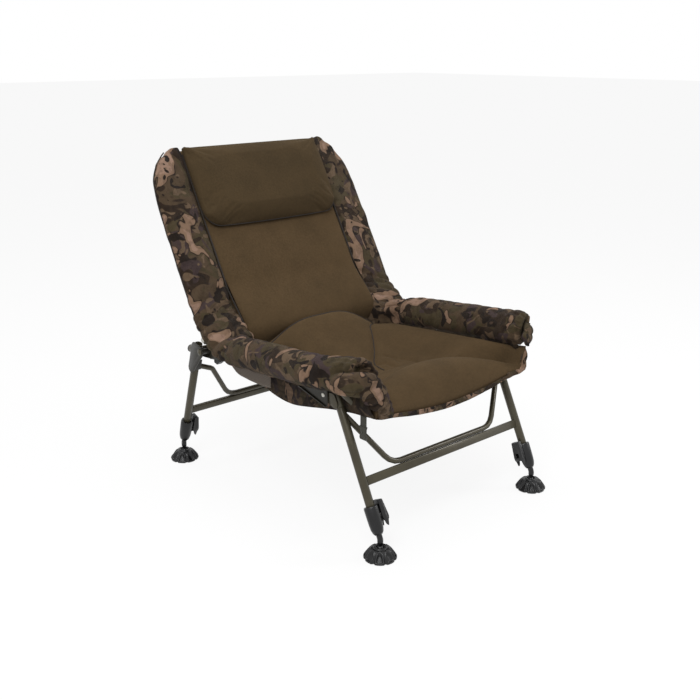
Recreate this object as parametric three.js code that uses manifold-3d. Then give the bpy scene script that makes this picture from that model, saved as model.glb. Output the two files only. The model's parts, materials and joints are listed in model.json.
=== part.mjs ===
// Folding carp fishing chair: a padded sling seat on two side rails, a reclined
// padded back on a bent U tube, and two leg frames that fold under the seat.
// Millimetres, +Z up, the sitter looks along -Y, +X is the sitter's left.
// "left" and "right" in the names are the sitter's left and right.

import * as THREE from 'three';
import { mergeVertices } from 'three/addons/utils/BufferGeometryUtils.js';
import Module from 'manifold-3d';

const wasm = await Module();
wasm.setup();
const rad = THREE.MathUtils.degToRad;
const { lerp, clamp, smoothstep } = THREE.MathUtils;

// Driving dimensions

const seatGap = 0.3;            // the running or seating gap between pieces
const cutOver = 6;              // how far a cutting tool runs past a face
const bendStep = rad(20);       // one facet of a bent tube

// Side rails, round tube inside the bottom of the arm rolls
const railHalf = 316;           // from the middle of the chair to a rail's axis
const railRadius = 11;
const railWall = 1.6;
const railHeight = 393.5;       // rail axis at y = 0
const railPitch = rad(5.26);    // the seat rises to the front
const railFrontY = -205;
const railRearY = 490;
const railZ = (y) => railHeight - y * Math.tan(railPitch);
const capLength = 6;
const capPlug = 14;
const crossRadius = 9.5;
const rearCrossIn = 35;         // from a rail end to a cross tube
const frontCrossIn = 33;
const rearCrossY = railRearY - rearCrossIn;
const frontCrossY = railFrontY + frontCrossIn;
const frontCrossDrop = 73;      // the front cross tube dips under the thighs
const frontCrossEnd = 68;      // from a rail inward to its low straight run
const frontCrossRun = railHalf - frontCrossEnd;
const frontCrossBend = 44;

// Front leg frame, it folds rearward between the rails
const frontInset = 30;          // leg axis inside the rail axis
const frontHalf = railHalf - frontInset;
const frontFootY = -308.3;      // where the leg axis meets the ground
const frontLean = rad(26.2);
const frontPivotBack = 28;      // pivot behind the leg axis
const frontPivotDrop = 31.92;   // pivot below the rail axis
// the pivot's height along the leg, from where it lies below the sloping rail
const frontPivotUp = (railZ(frontFootY + frontPivotBack * Math.cos(frontLean)) - frontPivotDrop
  + frontPivotBack * Math.sin(frontLean)) / (Math.cos(frontLean) + Math.tan(railPitch) * Math.sin(frontLean));
const frontLegShort = 2.5;      // the leg tube ends this far below the pivot
const frontLegTop = frontPivotUp - frontLegShort;
const frontBarUp = 196.7;
const frontLoopCorner = 102;    // from a leg inward to the brace loop's corner
const frontLoopHalf = frontHalf - frontLoopCorner;
const frontLoopDrop = 53.5;     // the loop meets the leg this far below the pivot
const frontLoopEnd = frontPivotUp - frontLoopDrop;

// Rear leg frame, wider, it folds forward outside the rails
const rearOutset = 25;          // leg axis outside the rail axis
const rearHalf = railHalf + rearOutset;
const rearFootY = 538.8;
const rearLean = rad(18.6);
const rearPivotFore = 30.3;     // pivot ahead of the leg axis
const rearPivotRise = 12.63;    // pivot above the rail axis
const rearPivotUp = (railZ(rearFootY - rearPivotFore * Math.cos(rearLean)) + rearPivotRise
  + rearPivotFore * Math.sin(rearLean)) / (Math.cos(rearLean) - Math.tan(railPitch) * Math.sin(rearLean));
const rearLegOver = 7.4;        // the leg tube runs this far past the pivot
const rearLegTop = rearPivotUp + rearLegOver;
const rearBarUp = 174.2;
const rearLoopCorner = 135;
const rearLoopHalf = rearHalf - rearLoopCorner;
const rearLoopKnee = 60;
const rearLoopKneeHalf = rearHalf - rearLoopKnee;
const rearLoopDrop = 65.6;      // the loop meets the leg this far below the pivot
const rearLoopEnd = rearPivotUp - rearLoopDrop;
const rearLoopKneeDrop = 27;
const rearLoopKneeUp = rearLoopEnd - rearLoopKneeDrop;

// What the two leg frames share
const legRadius = 11;
const legWall = 1.5;
const barHeight = 22;
const barDepth = 12;
const barWall = 1.5;
const loopRadius = 7.5;
const loopBend = 52;
const kneeBend = 22;

// Back frame, a bent U tube on two upright hinge plates
const backOutset = 29;          // tube axis outside the rail axis at the hinge
const backHalf = railHalf + backOutset;
const backDrawIn = 11;          // the tube draws in this much to the top
const backTopHalf = backHalf - backDrawIn;
const backRadius = 11;
const backWall = 1.6;
const backRecline = rad(30.1);
const backPivotY = 360;
const backPivotRise = 51.64;    // hinge above the rail axis
const backPivotZ = railZ(backPivotY) + backPivotRise;
const backTubeTop = 531;        // top run above the pivot
const backCorner = 85;

// Leg adjusters
const blockTop = 137;           // along the leg axis from the ground
const blockLength = 70;
const blockRadius = 17.5;
const blockNeck = 10;
const legSocket = 45;           // how far the leg sits in the block
const stalkRadius = 7.5;
const stalkInside = 165;        // how far the stalk reaches up inside the leg
const leverLength = 46;
const leverWidth = 23;
const leverRound = 9;
const leverReach = 28.5;        // pivot of the cam lever, from the leg axis
const leverUp = 101;

// Mud feet
const footRadius = 41;
const footHeight = 31;
const footScallops = 8;
const ballHeight = 24;          // centre of the ball above the ground
const ballRadius = 9;

// Finishes read from the photograph
const look = (color, roughness, metalness = 0) => ({ color, roughness, metalness });
const oliveSteel = look(0x35352b, 0.38, 0.55);
const zinc = look(0xb9b6ad, 0.3, 0.9);
const blackPlastic = look(0x191a1a, 0.5);
const fleece = look(0x4a4030, 0.95);
const camo = look(0x4b4233, 0.9);
const meshBand = look(0x6e6459, 0.85);
const webbing = look(0x2f3028, 0.8);

const chair = new THREE.Group();
const piece = (parent, name, geometry, finish) => {
  geometry.computeVertexNormals();
  const mesh = new THREE.Mesh(geometry, new THREE.MeshStandardMaterial(finish));
  mesh.name = name;
  parent.add(mesh);
  return mesh;
};
const both = [['right', -1], ['left', 1]];

// Solids: joining and cutting closed meshes

const solid = (geometry) => {
  const bare = geometry.clone();
  for (const key of Object.keys(bare.attributes)) if (key !== 'position') bare.deleteAttribute(key);
  const merged = mergeVertices(bare);
  return new wasm.Manifold(new wasm.Mesh({
    numProp: 3,
    vertProperties: Float32Array.from(merged.attributes.position.array),
    triVerts: Uint32Array.from(merged.index.array),
  }));
};
const shape3 = (body) => {
  const { vertProperties, triVerts } = body.getMesh();
  const geometry = new THREE.BufferGeometry();
  geometry.setAttribute('position', new THREE.BufferAttribute(Float32Array.from(vertProperties), 3));
  geometry.setIndex(new THREE.BufferAttribute(Uint32Array.from(triVerts), 1));
  return geometry;
};
const join = (first, ...rest) => shape3(rest.reduce((sum, g) => sum.add(solid(g)), solid(first)));
const cut = (first, ...rest) => shape3(rest.reduce((sum, g) => sum.subtract(solid(g)), solid(first)));

// A rod or pipe between two heights of an axis, turned from Y to that axis
const rod = (radius, length, sides = 12) => new THREE.CylinderGeometry(radius, radius, length, sides);
const rodX = (radius, x0, x1, sides = 12) => rod(radius, Math.abs(x1 - x0), sides)
  .rotateZ(Math.PI / 2).translate((x0 + x1) / 2, 0, 0);
const rodZ = (radius, z0, z1, sides = 16) => rod(radius, Math.abs(z1 - z0), sides)
  .rotateX(Math.PI / 2).translate(0, 0, (z0 + z1) / 2);
const boxOf = (x0, x1, y0, y1, z0, z1) => new THREE.BoxGeometry(x1 - x0, y1 - y0, z1 - z0)
  .translate((x0 + x1) / 2, (y0 + y1) / 2, (z0 + z1) / 2);

// A path through given stations, one ring of the section at each
class Stations extends THREE.Curve {
  constructor(points) {
    super();
    this.points = points;
  }

  getPoint(t, target = new THREE.Vector3()) {
    const place = t * (this.points.length - 1);
    const i = Math.min(Math.floor(place), this.points.length - 2);
    return target.copy(this.points[i]).lerp(this.points[i + 1], place - i);
  }

  getPointAt(u, target) {
    return this.getPoint(u, target);
  }

  getTangentAt(u, target = new THREE.Vector3()) {
    const last = this.points.length - 1;
    const i = Math.round(u * last);
    const before = this.points[Math.max(i - 1, 0)];
    const here = this.points[i];
    const after = this.points[Math.min(i + 1, last)];
    const comes = here.clone().sub(before).normalize();
    return target.copy(after).sub(here).normalize().add(comes)
      .normalize();
  }
}

// Corner points to stations, with each corner turned on a bend radius
const bentPath = (corners, bends) => {
  const stations = [corners[0].clone()];
  for (let i = 1; i < corners.length - 1; i += 1) {
    const into = corners[i].clone().sub(corners[i - 1]).normalize();
    const out = corners[i + 1].clone().sub(corners[i]).normalize();
    const turn = into.angleTo(out);
    const bend = Array.isArray(bends) ? bends[i - 1] : bends;
    const reach = bend * Math.tan(turn / 2);
    const start = corners[i].clone().addScaledVector(into, -reach);
    const side = out.clone().addScaledVector(into, -out.dot(into)).normalize();
    const centre = start.clone().addScaledVector(side, bend);
    const steps = Math.max(2, Math.round(turn / bendStep));
    for (let k = 0; k <= steps; k += 1) {
      const a = turn * k / steps;
      stations.push(centre.clone().addScaledVector(side, -bend * Math.cos(a))
        .addScaledVector(into, bend * Math.sin(a)));
    }
  }
  stations.push(corners[corners.length - 1].clone());
  return new Stations(stations);
};
const ringShape = (radius, wall, sides) => {
  const circle = (r, way) => Array.from({ length: sides }, (_, i) => {
    const a = way * 2 * Math.PI * i / sides;
    return new THREE.Vector2(r * Math.cos(a), r * Math.sin(a));
  });
  const shape = new THREE.Shape(circle(radius, 1));
  if (wall) shape.holes.push(new THREE.Path(circle(radius - wall, -1)));
  return shape;
};
const bentTube = (corners, bends, radius, wall = 0, sides = 12) => {
  const path = bentPath(corners, bends);
  return new THREE.ExtrudeGeometry(ringShape(radius, wall, sides), {
    steps: path.points.length - 1,
    extrudePath: path,
  });
};
const v3 = (x, y, z) => new THREE.Vector3(x, y, z);
const v2 = (x, y) => new THREE.Vector2(x, y);

// A flat plate from an outline in (y, z), between two values of x
const plateX = (outline, x0, x1) => {
  const plate = new THREE.ExtrudeGeometry(new THREE.Shape(outline), {
    depth: Math.abs(x1 - x0),
    bevelEnabled: false,
  });
  // local x, y, z of the extrusion become y, z, x
  plate.applyMatrix4(new THREE.Matrix4().makeBasis(v3(0, 1, 0), v3(0, 0, 1), v3(1, 0, 0)));
  return plate.translate(Math.min(x0, x1), 0, 0);
};

// The outline that wraps a set of discs like a belt
const beltOutline = (discs, facets = 12) => {
  const points = discs.flatMap(([y, z, r]) => Array.from({ length: facets }, (_, i) => {
    const a = 2 * Math.PI * i / facets;
    return v2(y + r * Math.cos(a), z + r * Math.sin(a));
  }));
  points.sort((a, b) => a.x - b.x || a.y - b.y);
  const turnOf = (o, a, b) => (a.x - o.x) * (b.y - o.y) - (a.y - o.y) * (b.x - o.x);
  const half = (list) => {
    const hull = [];
    for (const p of list) {
      while (hull.length > 1 && turnOf(hull[hull.length - 2], hull[hull.length - 1], p) <= 0) hull.pop();
      hull.push(p);
    }
    hull.pop();
    return hull;
  };
  return [...half(points), ...half(points.slice().reverse())];
};

// An indexed closed surface, turned so that its faces point out
const closedSurface = (positions, index) => {
  let volume = 0;
  const p = (k) => v3(...positions.slice(3 * k, 3 * k + 3));
  for (let i = 0; i < index.length; i += 3) {
    volume += p(index[i]).dot(p(index[i + 1]).cross(p(index[i + 2])));
  }
  if (volume < 0) for (let i = 0; i < index.length; i += 3) [index[i], index[i + 1]] = [index[i + 1], index[i]];
  const geometry = new THREE.BufferGeometry();
  geometry.setAttribute('position', new THREE.Float32BufferAttribute(positions, 3));
  geometry.setIndex(index);
  return geometry;
};

// A padded shape between two grids of points that share their rim directions:
// front(u, v) and rear(u, v) with u and v from 0 to 1
const padded = (front, rear, nu, nv) => {
  const positions = [];
  const index = [];
  const id = (layer, i, j) => layer * (nu + 1) * (nv + 1) + j * (nu + 1) + i;
  for (const face of [front, rear]) {
    for (let j = 0; j <= nv; j += 1) {
      for (let i = 0; i <= nu; i += 1) positions.push(...face(i / nu, j / nv).toArray());
    }
  }
  const quad = (a, b, c, d) => index.push(a, b, c, a, c, d);
  for (let j = 0; j < nv; j += 1) {
    for (let i = 0; i < nu; i += 1) {
      quad(id(0, i, j), id(0, i + 1, j), id(0, i + 1, j + 1), id(0, i, j + 1));
      quad(id(1, i, j), id(1, i, j + 1), id(1, i + 1, j + 1), id(1, i + 1, j));
    }
  }
  for (let i = 0; i < nu; i += 1) {
    quad(id(0, i + 1, 0), id(0, i, 0), id(1, i, 0), id(1, i + 1, 0));
    quad(id(0, i, nv), id(0, i + 1, nv), id(1, i + 1, nv), id(1, i, nv));
  }
  for (let j = 0; j < nv; j += 1) {
    quad(id(0, 0, j), id(0, 0, j + 1), id(1, 0, j + 1), id(1, 0, j));
    quad(id(0, nu, j + 1), id(0, nu, j), id(1, nu, j), id(1, nu, j + 1));
  }
  return closedSurface(positions, index);
};
// Rings of equal length joined along an axis, with both ends closed
const loft = (rings) => {
  const n = rings[0].length;
  const positions = [];
  const index = [];
  for (const ring of rings) for (const p of ring) positions.push(...p.toArray());
  for (let k = 0; k < rings.length - 1; k += 1) {
    for (let i = 0; i < n; i += 1) {
      const a = k * n + i;
      const b = k * n + (i + 1) % n;
      index.push(a, b, b + n, a, b + n, a + n);
    }
  }
  for (const [k, flip] of [[0, true], [rings.length - 1, false]]) {
    const middle = rings[k].reduce((sum, p) => sum.add(p), v3(0, 0, 0)).divideScalar(n);
    const c = positions.length / 3;
    positions.push(...middle.toArray());
    for (let i = 0; i < n; i += 1) {
      const a = k * n + i;
      const b = k * n + (i + 1) % n;
      if (flip) index.push(c, b, a);
      else index.push(c, a, b);
    }
  }
  return closedSurface(positions, index);
};
// A value read from a table of [place share, value share] rows, eased between
const fromTable = (table, at) => {
  let k = 0;
  while (k < table.length - 2 && at > table[k + 1][0]) k += 1;
  const [a, va] = table[k];
  const [b, vb] = table[k + 1];
  return lerp(va, vb, clamp((at - a) / (b - a), 0, 1));
};
// The rise of a rounded edge: 0 at the rim, 1 once the edge radius is passed
const edgeRound = (inset, radius) => {
  const t = clamp(inset / radius, 0, 1);
  return Math.sqrt(1 - (1 - t) * (1 - t));
};

// Groups that carry the tilted frames

const group = (y, z, lean) => {
  const g = new THREE.Group();
  g.position.set(0, y, z);
  g.rotation.x = lean;
  chair.add(g);
  g.updateMatrix();
  return g;
};
const frontFrame = group(frontFootY, 0, -frontLean);
const rearFrame = group(rearFootY, 0, rearLean);
const backFrame = group(backPivotY, backPivotZ, -backRecline);
const frontPivot = v3(0, frontPivotBack, frontPivotUp).applyMatrix4(frontFrame.matrix);
const rearPivot = v3(0, -rearPivotFore, rearPivotUp).applyMatrix4(rearFrame.matrix);
// Side rails with their end caps

const alongRail = (geometry, x, y) => geometry.rotateX(-railPitch).translate(x, y, railZ(y));
const railLength = (railRearY - railFrontY) / Math.cos(railPitch);
const railMiddle = (railRearY + railFrontY) / 2;
const pipeY = (radius, wall, length, sides = 18) => new THREE.ExtrudeGeometry(
  ringShape(radius, wall, sides),
  { depth: length, bevelEnabled: false },
).translate(0, 0, -length / 2).rotateX(Math.PI / 2);
for (const [side, s] of both) {
  piece(chair, `rail_${side}`, alongRail(pipeY(railRadius, railWall, railLength), s * railHalf, railMiddle), oliveSteel);
  const capRim = railRadius * 0.62;
  const capProfile = [
    v2(0, -capPlug),
    v2(railRadius - railWall - seatGap, -capPlug),
    v2(railRadius - railWall - seatGap, seatGap),
    v2(railRadius + 1 * seatGap, seatGap),
    v2(railRadius + 1 * seatGap, capLength * 0.55),
    v2(railRadius * 0.9, capLength * 0.88),
    v2(capRim, capLength + seatGap),
    v2(0, capLength + seatGap),
  ];
  piece(
    chair,
    `rail_rear_cap_${side}`,
    alongRail(new THREE.LatheGeometry(capProfile, 12), s * railHalf, railRearY),
    blackPlastic,
  );
}

// Cross tubes between the rails, coped to them

const railTool = (s, extra) => alongRail(pipeY(railRadius + extra, 0, railLength + 2 * cutOver), s * railHalf, railMiddle);
const rearCross = rodX(crossRadius, -railHalf, railHalf).translate(0, rearCrossY, railZ(rearCrossY));
piece(chair, 'rear_cross_tube', cut(rearCross, railTool(-1, seatGap), railTool(1, seatGap)), oliveSteel);
const crossEnd = railZ(frontCrossY);
const crossLow = crossEnd - frontCrossDrop;
const frontCrossPath = [
  v3(-railHalf, frontCrossY, crossEnd),
  v3(-frontCrossRun, frontCrossY, crossLow),
  v3(frontCrossRun, frontCrossY, crossLow),
  v3(railHalf, frontCrossY, crossEnd),
];
const frontCross = bentTube(frontCrossPath, frontCrossBend, crossRadius, 0, 12);
piece(chair, 'front_cross_tube', cut(frontCross, railTool(-1, seatGap), railTool(1, seatGap)), oliveSteel);

// Fixed hinge hardware on the rails

const plateThick = 2;
const boltRadius = 4;
const bossRadius = 8;
const rearPlateIn = railHalf + railRadius + seatGap;
const rearPlateOut = rearPlateIn + plateThick;
const bracketIn = rearHalf + legRadius + seatGap;
const bracketOut = bracketIn + 2.5 * plateThick / 2;
const pivotDisc = 14;
const hingeFoot = 9;            // half height of the plate where it lies on the rail
const hingeFootSpan = 44;       // how far it runs back and forward of the leg pivot
const mirrorX = (geometry, s) => {
  if (s > 0) return geometry;
  geometry.scale(-1, 1, 1);
  const { index } = geometry;
  if (index) {
    const a = index.array;
    for (let i = 0; i < a.length; i += 3) [a[i], a[i + 1]] = [a[i + 1], a[i]];
    return geometry;
  }
  const p = geometry.attributes.position;
  for (let i = 0; i < p.count; i += 3) {
    const keep = [p.getX(i), p.getY(i), p.getZ(i)];
    p.setXYZ(i, p.getX(i + 1), p.getY(i + 1), p.getZ(i + 1));
    p.setXYZ(i + 1, ...keep);
  }
  return geometry;
};
const at = (geometry, p) => geometry.translate(0, p.y, p.z);
const backPivot = v3(0, backPivotY, backPivotZ);
const hingeSpots = [rearPivot.y - hingeFootSpan, rearPivot.y + hingeFootSpan];
const tubeSide = backHalf - backRadius - seatGap;
for (const [side, s] of both) {
  const outline = beltOutline([
    [rearPivot.y, rearPivot.z, pivotDisc],
    [hingeSpots[0], railZ(hingeSpots[0]), hingeFoot],
    [hingeSpots[1], railZ(hingeSpots[1]), hingeFoot],
  ]);
  const upright = beltOutline([
    [backPivot.y, backPivot.z, pivotDisc - 1 * plateThick / 2],
    [rearPivot.y - pivotDisc, railZ(rearPivot.y), hingeFoot],
  ]);
  const rivet = (y) => rodX(boltRadius, rearPlateIn, rearPlateOut + plateThick / 2, 12).translate(0, y, railZ(y));
  const hinge = cut(
    join(
      plateX(outline, rearPlateIn, rearPlateOut),
      plateX(upright, rearPlateIn, rearPlateOut),
      at(rodX(bossRadius, rearPlateIn, bracketIn - seatGap), rearPivot),
      at(rodX(bossRadius, rearPlateIn, tubeSide - seatGap), backPivot),
      rivet(hingeSpots[0] + hingeFoot / 2),
    ),
    at(rodX(boltRadius + seatGap, rearPlateIn - cutOver, bracketOut + cutOver, 12), rearPivot),
    at(rodX(boltRadius + seatGap, rearPlateIn - cutOver, bracketOut + cutOver, 12), backPivot),
  );
  piece(chair, `rear_hinge_plate_${side}`, mirrorX(hinge, s), oliveSteel);
}

// Rubber stop pads under the rails, ahead of the rear hinges
const padLength = 30;
const padDrop = 12;
const padHalf = 8;
const padAhead = 22;
for (const [side, s] of both) {
  const y0 = rearPivot.y - padAhead;
  const block = plateX([
    v2(y0, railZ(y0) - railRadius - padDrop * 0.7),
    v2(y0, railZ(y0)),
    v2(y0 - padLength, railZ(y0 - padLength)),
    v2(y0 - padLength, railZ(y0 - padLength) - railRadius - padDrop * 0.25),
    v2(y0 - padLength * 0.45, railZ(y0) - railRadius - padDrop),
  ].reverse(), s * railHalf - padHalf, s * railHalf + padHalf);
  piece(chair, `rail_stop_pad_${side}`, cut(block, railTool(s, seatGap)), blackPlastic);
}

// Fixed front brackets, pressed wings on the inner faces of the rails
const wingOut = railHalf - railRadius - seatGap;
const wingIn = wingOut - plateThick;
const earOut = wingIn - plateThick / 2;
const sleeveWall = 2;
const earIn = frontHalf + legRadius + seatGap + sleeveWall / 2;
const wingLip = 6;
const wingBack = 92;            // the wing's tail behind the pivot
const wingFront = 15;
const wingTail = frontPivot.y + wingBack;
const wingNose = frontPivot.y - wingFront;
const wingTop = railRadius * 0.3;
const wingLow = frontPivot.z - pivotDisc * 1.9;
const wingShape = (grow, x0, x1) => plateX([
  v2(wingNose + plateThick, wingLow - grow),
  v2(wingTail + grow, railZ(wingTail) - railRadius - pivotDisc - grow),
  v2(wingTail + wingLip + grow, railZ(wingTail) - railRadius),
  v2(wingTail - wingLip + 2 * grow, railZ(wingTail) + wingTop + grow),
  v2(wingNose - grow, railZ(wingNose) + wingTop + grow),
  v2(wingNose - plateThick - grow, frontPivot.z - pivotDisc),
], x0, x1);
for (const [side, s] of both) {
  const lower = [
    v2(wingNose + plateThick, wingLow),
    v2(wingTail, railZ(wingTail) - railRadius - pivotDisc),
  ];
  const wing = wingShape(0, wingIn, wingOut);
  const lip = plateX([
    lower[0],
    lower[1],
    v2(lower[1].x, lower[1].y + plateThick),
    v2(lower[0].x, lower[0].y + plateThick),
  ], wingIn, wingOut + wingLip);
  const hole = at(rodX(boltRadius + seatGap, earIn - cutOver, wingOut + cutOver, 12), frontPivot);
  piece(chair, `front_bracket_${side}`, mirrorX(cut(join(wing, lip), hole), s), oliveSteel);

  const bolt = new THREE.LatheGeometry([
    v2(0, 0),
    v2(boltRadius * 1.7, 0),
    v2(boltRadius * 1.7, plateThick),
    v2(boltRadius, plateThick),
    v2(boltRadius, plateThick + wingOut - earIn + 2 * seatGap),
    v2(boltRadius * 1.6, plateThick + wingOut - earIn + 2 * seatGap),
    v2(boltRadius * 1.2, 2 * plateThick + wingOut - earIn),
    v2(0, 2 * plateThick + wingOut - earIn),
  ], 12).rotateZ(-Math.PI / 2).translate(earIn - plateThick - seatGap, 0, 0);
  const mesh = piece(chair, `front_pivot_bolt_${side}`, mirrorX(bolt, s), zinc);
  mesh.position.copy(frontPivot);
}

// Leg frames: two legs, a flat crossbar and a bent brace loop

const buildLegFrame = (spec) => {
  const { frame, name, half, top, barUp, loop } = spec;
  const legFoot = blockTop - legSocket;
  const legBar = (s, extra) => rodZ(legRadius + extra, legFoot - cutOver, top + cutOver, 18).translate(s * half, 0, 0);
  for (const [side, s] of both) {
    const leg = new THREE.ExtrudeGeometry(ringShape(legRadius, legWall, 18), {
      depth: top - legFoot,
      bevelEnabled: false,
    });
    piece(frame, `${name}_leg_${side}`, leg.translate(s * half, 0, legFoot), oliveSteel);
  }
  const barShape = (height, depth) => {
    const r = depth / 3;
    const shape = new THREE.Shape();
    const [y, z] = [depth / 2, height / 2];
    shape.moveTo(-y, r - z);
    shape.quadraticCurveTo(-y, -z, r - y, -z);
    shape.lineTo(y - r, -z);
    shape.quadraticCurveTo(y, -z, y, r - z);
    shape.lineTo(y, z - r);
    shape.quadraticCurveTo(y, z, y - r, z);
    shape.lineTo(r - y, z);
    shape.quadraticCurveTo(-y, z, -y, z - r);
    return shape.getPoints(3);
  };
  const barOutline = new THREE.Shape(barShape(barHeight, barDepth));
  barOutline.holes.push(new THREE.Path(barShape(barHeight - 2 * barWall, barDepth - 2 * barWall).reverse()));
  const bar = new THREE.ExtrudeGeometry(barOutline, { depth: 2 * half, bevelEnabled: false });
  bar.applyMatrix4(new THREE.Matrix4().makeBasis(v3(0, 1, 0), v3(0, 0, 1), v3(1, 0, 0)));
  bar.translate(-half, 0, barUp);
  const endCut = [legBar(-1, seatGap), legBar(1, seatGap)];
  const outside = [-1, 1].map((s) => {
    const inner = s * half;
    const outer = s * (half + 4 * legRadius);
    return boxOf(Math.min(inner, outer), Math.max(inner, outer), -barHeight, barHeight, 0, top + barHeight);
  });
  piece(frame, `${name}_crossbar`, cut(bar, ...endCut, ...outside), oliveSteel);
  const run = barUp + barHeight / 2 + loopRadius + seatGap;
  const corners = [...loop(1, run).reverse().map((p) => p.clone().multiply(v3(-1, 1, 1))), ...loop(1, run)];
  const bends = spec.bends.slice().reverse().concat(spec.bends);
  const brace = bentTube(corners, bends, loopRadius, 0, 12);
  piece(frame, `${name}_brace_loop`, cut(brace, ...endCut, ...outside), oliveSteel);
};
buildLegFrame({
  frame: frontFrame,
  name: 'front',
  half: frontHalf,
  top: frontLegTop,
  barUp: frontBarUp,
  bends: [loopBend],
  loop: (s, run) => [v3(frontLoopHalf, 0, run), v3(frontHalf, 0, frontLoopEnd)],
});
buildLegFrame({
  frame: rearFrame,
  name: 'rear',
  half: rearHalf,
  top: rearLegTop,
  barUp: rearBarUp,
  bends: [loopBend, kneeBend],
  loop: (s, run) => [
    v3(rearLoopHalf, 0, run),
    v3(rearLoopKneeHalf, 0, rearLoopKneeUp),
    v3(rearHalf, 0, rearLoopEnd),
  ],
});

// Front leg collars, a sleeve round the leg top with the ear that turns on the bolt
const collarLength = 38;
for (const [side, s] of both) {
  const low = frontLegTop - collarLength;
  const sleeve = new THREE.ExtrudeGeometry(
    ringShape(legRadius + seatGap + sleeveWall, sleeveWall, 18),
    { depth: collarLength, bevelEnabled: false },
  ).translate(frontHalf, 0, low);
  const ear = plateX(beltOutline([
    [frontPivotBack, frontPivotUp, pivotDisc * 0.8],
    [0, low + legRadius, legRadius],
    [0, frontLegTop - legRadius, legRadius],
  ], 12), earIn, earOut);
  const hole = rodX(boltRadius + seatGap, earIn - cutOver, earOut + cutOver, 12)
    .translate(0, frontPivotBack, frontPivotUp);
  const bore = rodZ(legRadius + seatGap, low - cutOver, frontLegTop + cutOver, 18).translate(frontHalf, 0, 0);
  piece(frontFrame, `front_leg_collar_${side}`, mirrorX(cut(join(sleeve, ear), hole, bore), s), oliveSteel);
}

// Rear leg brackets, a channel over the leg top with a round nose at the hinge bolt
const channelDrop = 83.6;       // how far the channel runs below and above the hinge
const channelRise = 11.4;
const channelLow = rearPivotUp - channelDrop;
const channelHigh = rearPivotUp + channelRise;
const channelHalf = legRadius + seatGap;
for (const [side, s] of both) {
  const web = plateX(beltOutline([
    [-rearPivotFore, rearPivotUp, pivotDisc],
    [0, channelLow + channelHalf, channelHalf + sleeveWall],
    [0, channelHigh - channelHalf, channelHalf + sleeveWall],
  ], 18), bracketIn, bracketOut);
  const flange = (y0, y1, z0, z1) => boxOf(rearHalf - legRadius, bracketOut, y0, y1, z0, z1);
  const channelEnd = channelLow + channelHalf - sleeveWall;
  const rear = flange(channelHalf, channelHalf + sleeveWall, channelEnd, channelHigh - channelHalf);
  const noseLow = rearPivotUp - pivotDisc * 3;
  const front = flange(-channelHalf - sleeveWall, -channelHalf, channelEnd, noseLow);
  const hole = rodX(boltRadius + seatGap, bracketIn - cutOver, bracketOut + cutOver, 12)
    .translate(0, -rearPivotFore, rearPivotUp);
  piece(rearFrame, `rear_leg_bracket_${side}`, mirrorX(cut(join(web, rear, front), hole), s), oliveSteel);
  const headRadius = pivotDisc * 0.72;
  const headThick = 3;
  const disc = new THREE.LatheGeometry([
    v2(0, 0),
    v2(boltRadius, 0),
    v2(boltRadius, bracketOut - rearPlateIn + seatGap),
    v2(headRadius, bracketOut - rearPlateIn + seatGap),
    v2(headRadius, bracketOut - rearPlateIn + headThick * 0.6),
    v2(headRadius * 0.85, bracketOut - rearPlateIn + headThick),
    v2(boltRadius, bracketOut - rearPlateIn + headThick),
    v2(boltRadius * 0.8, bracketOut - rearPlateIn + headThick * 1.5),
    v2(0, bracketOut - rearPlateIn + headThick * 1.6),
  ], 14).rotateZ(-Math.PI / 2).translate(rearPlateIn, 0, 0);
  const mesh = piece(rearFrame, `rear_hinge_bolt_${side}`, mirrorX(disc, s), oliveSteel);
  mesh.position.set(0, -rearPivotFore, rearPivotUp);
}

// Leg adjusters: clamp block, cam lever, stalk and mud foot

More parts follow.
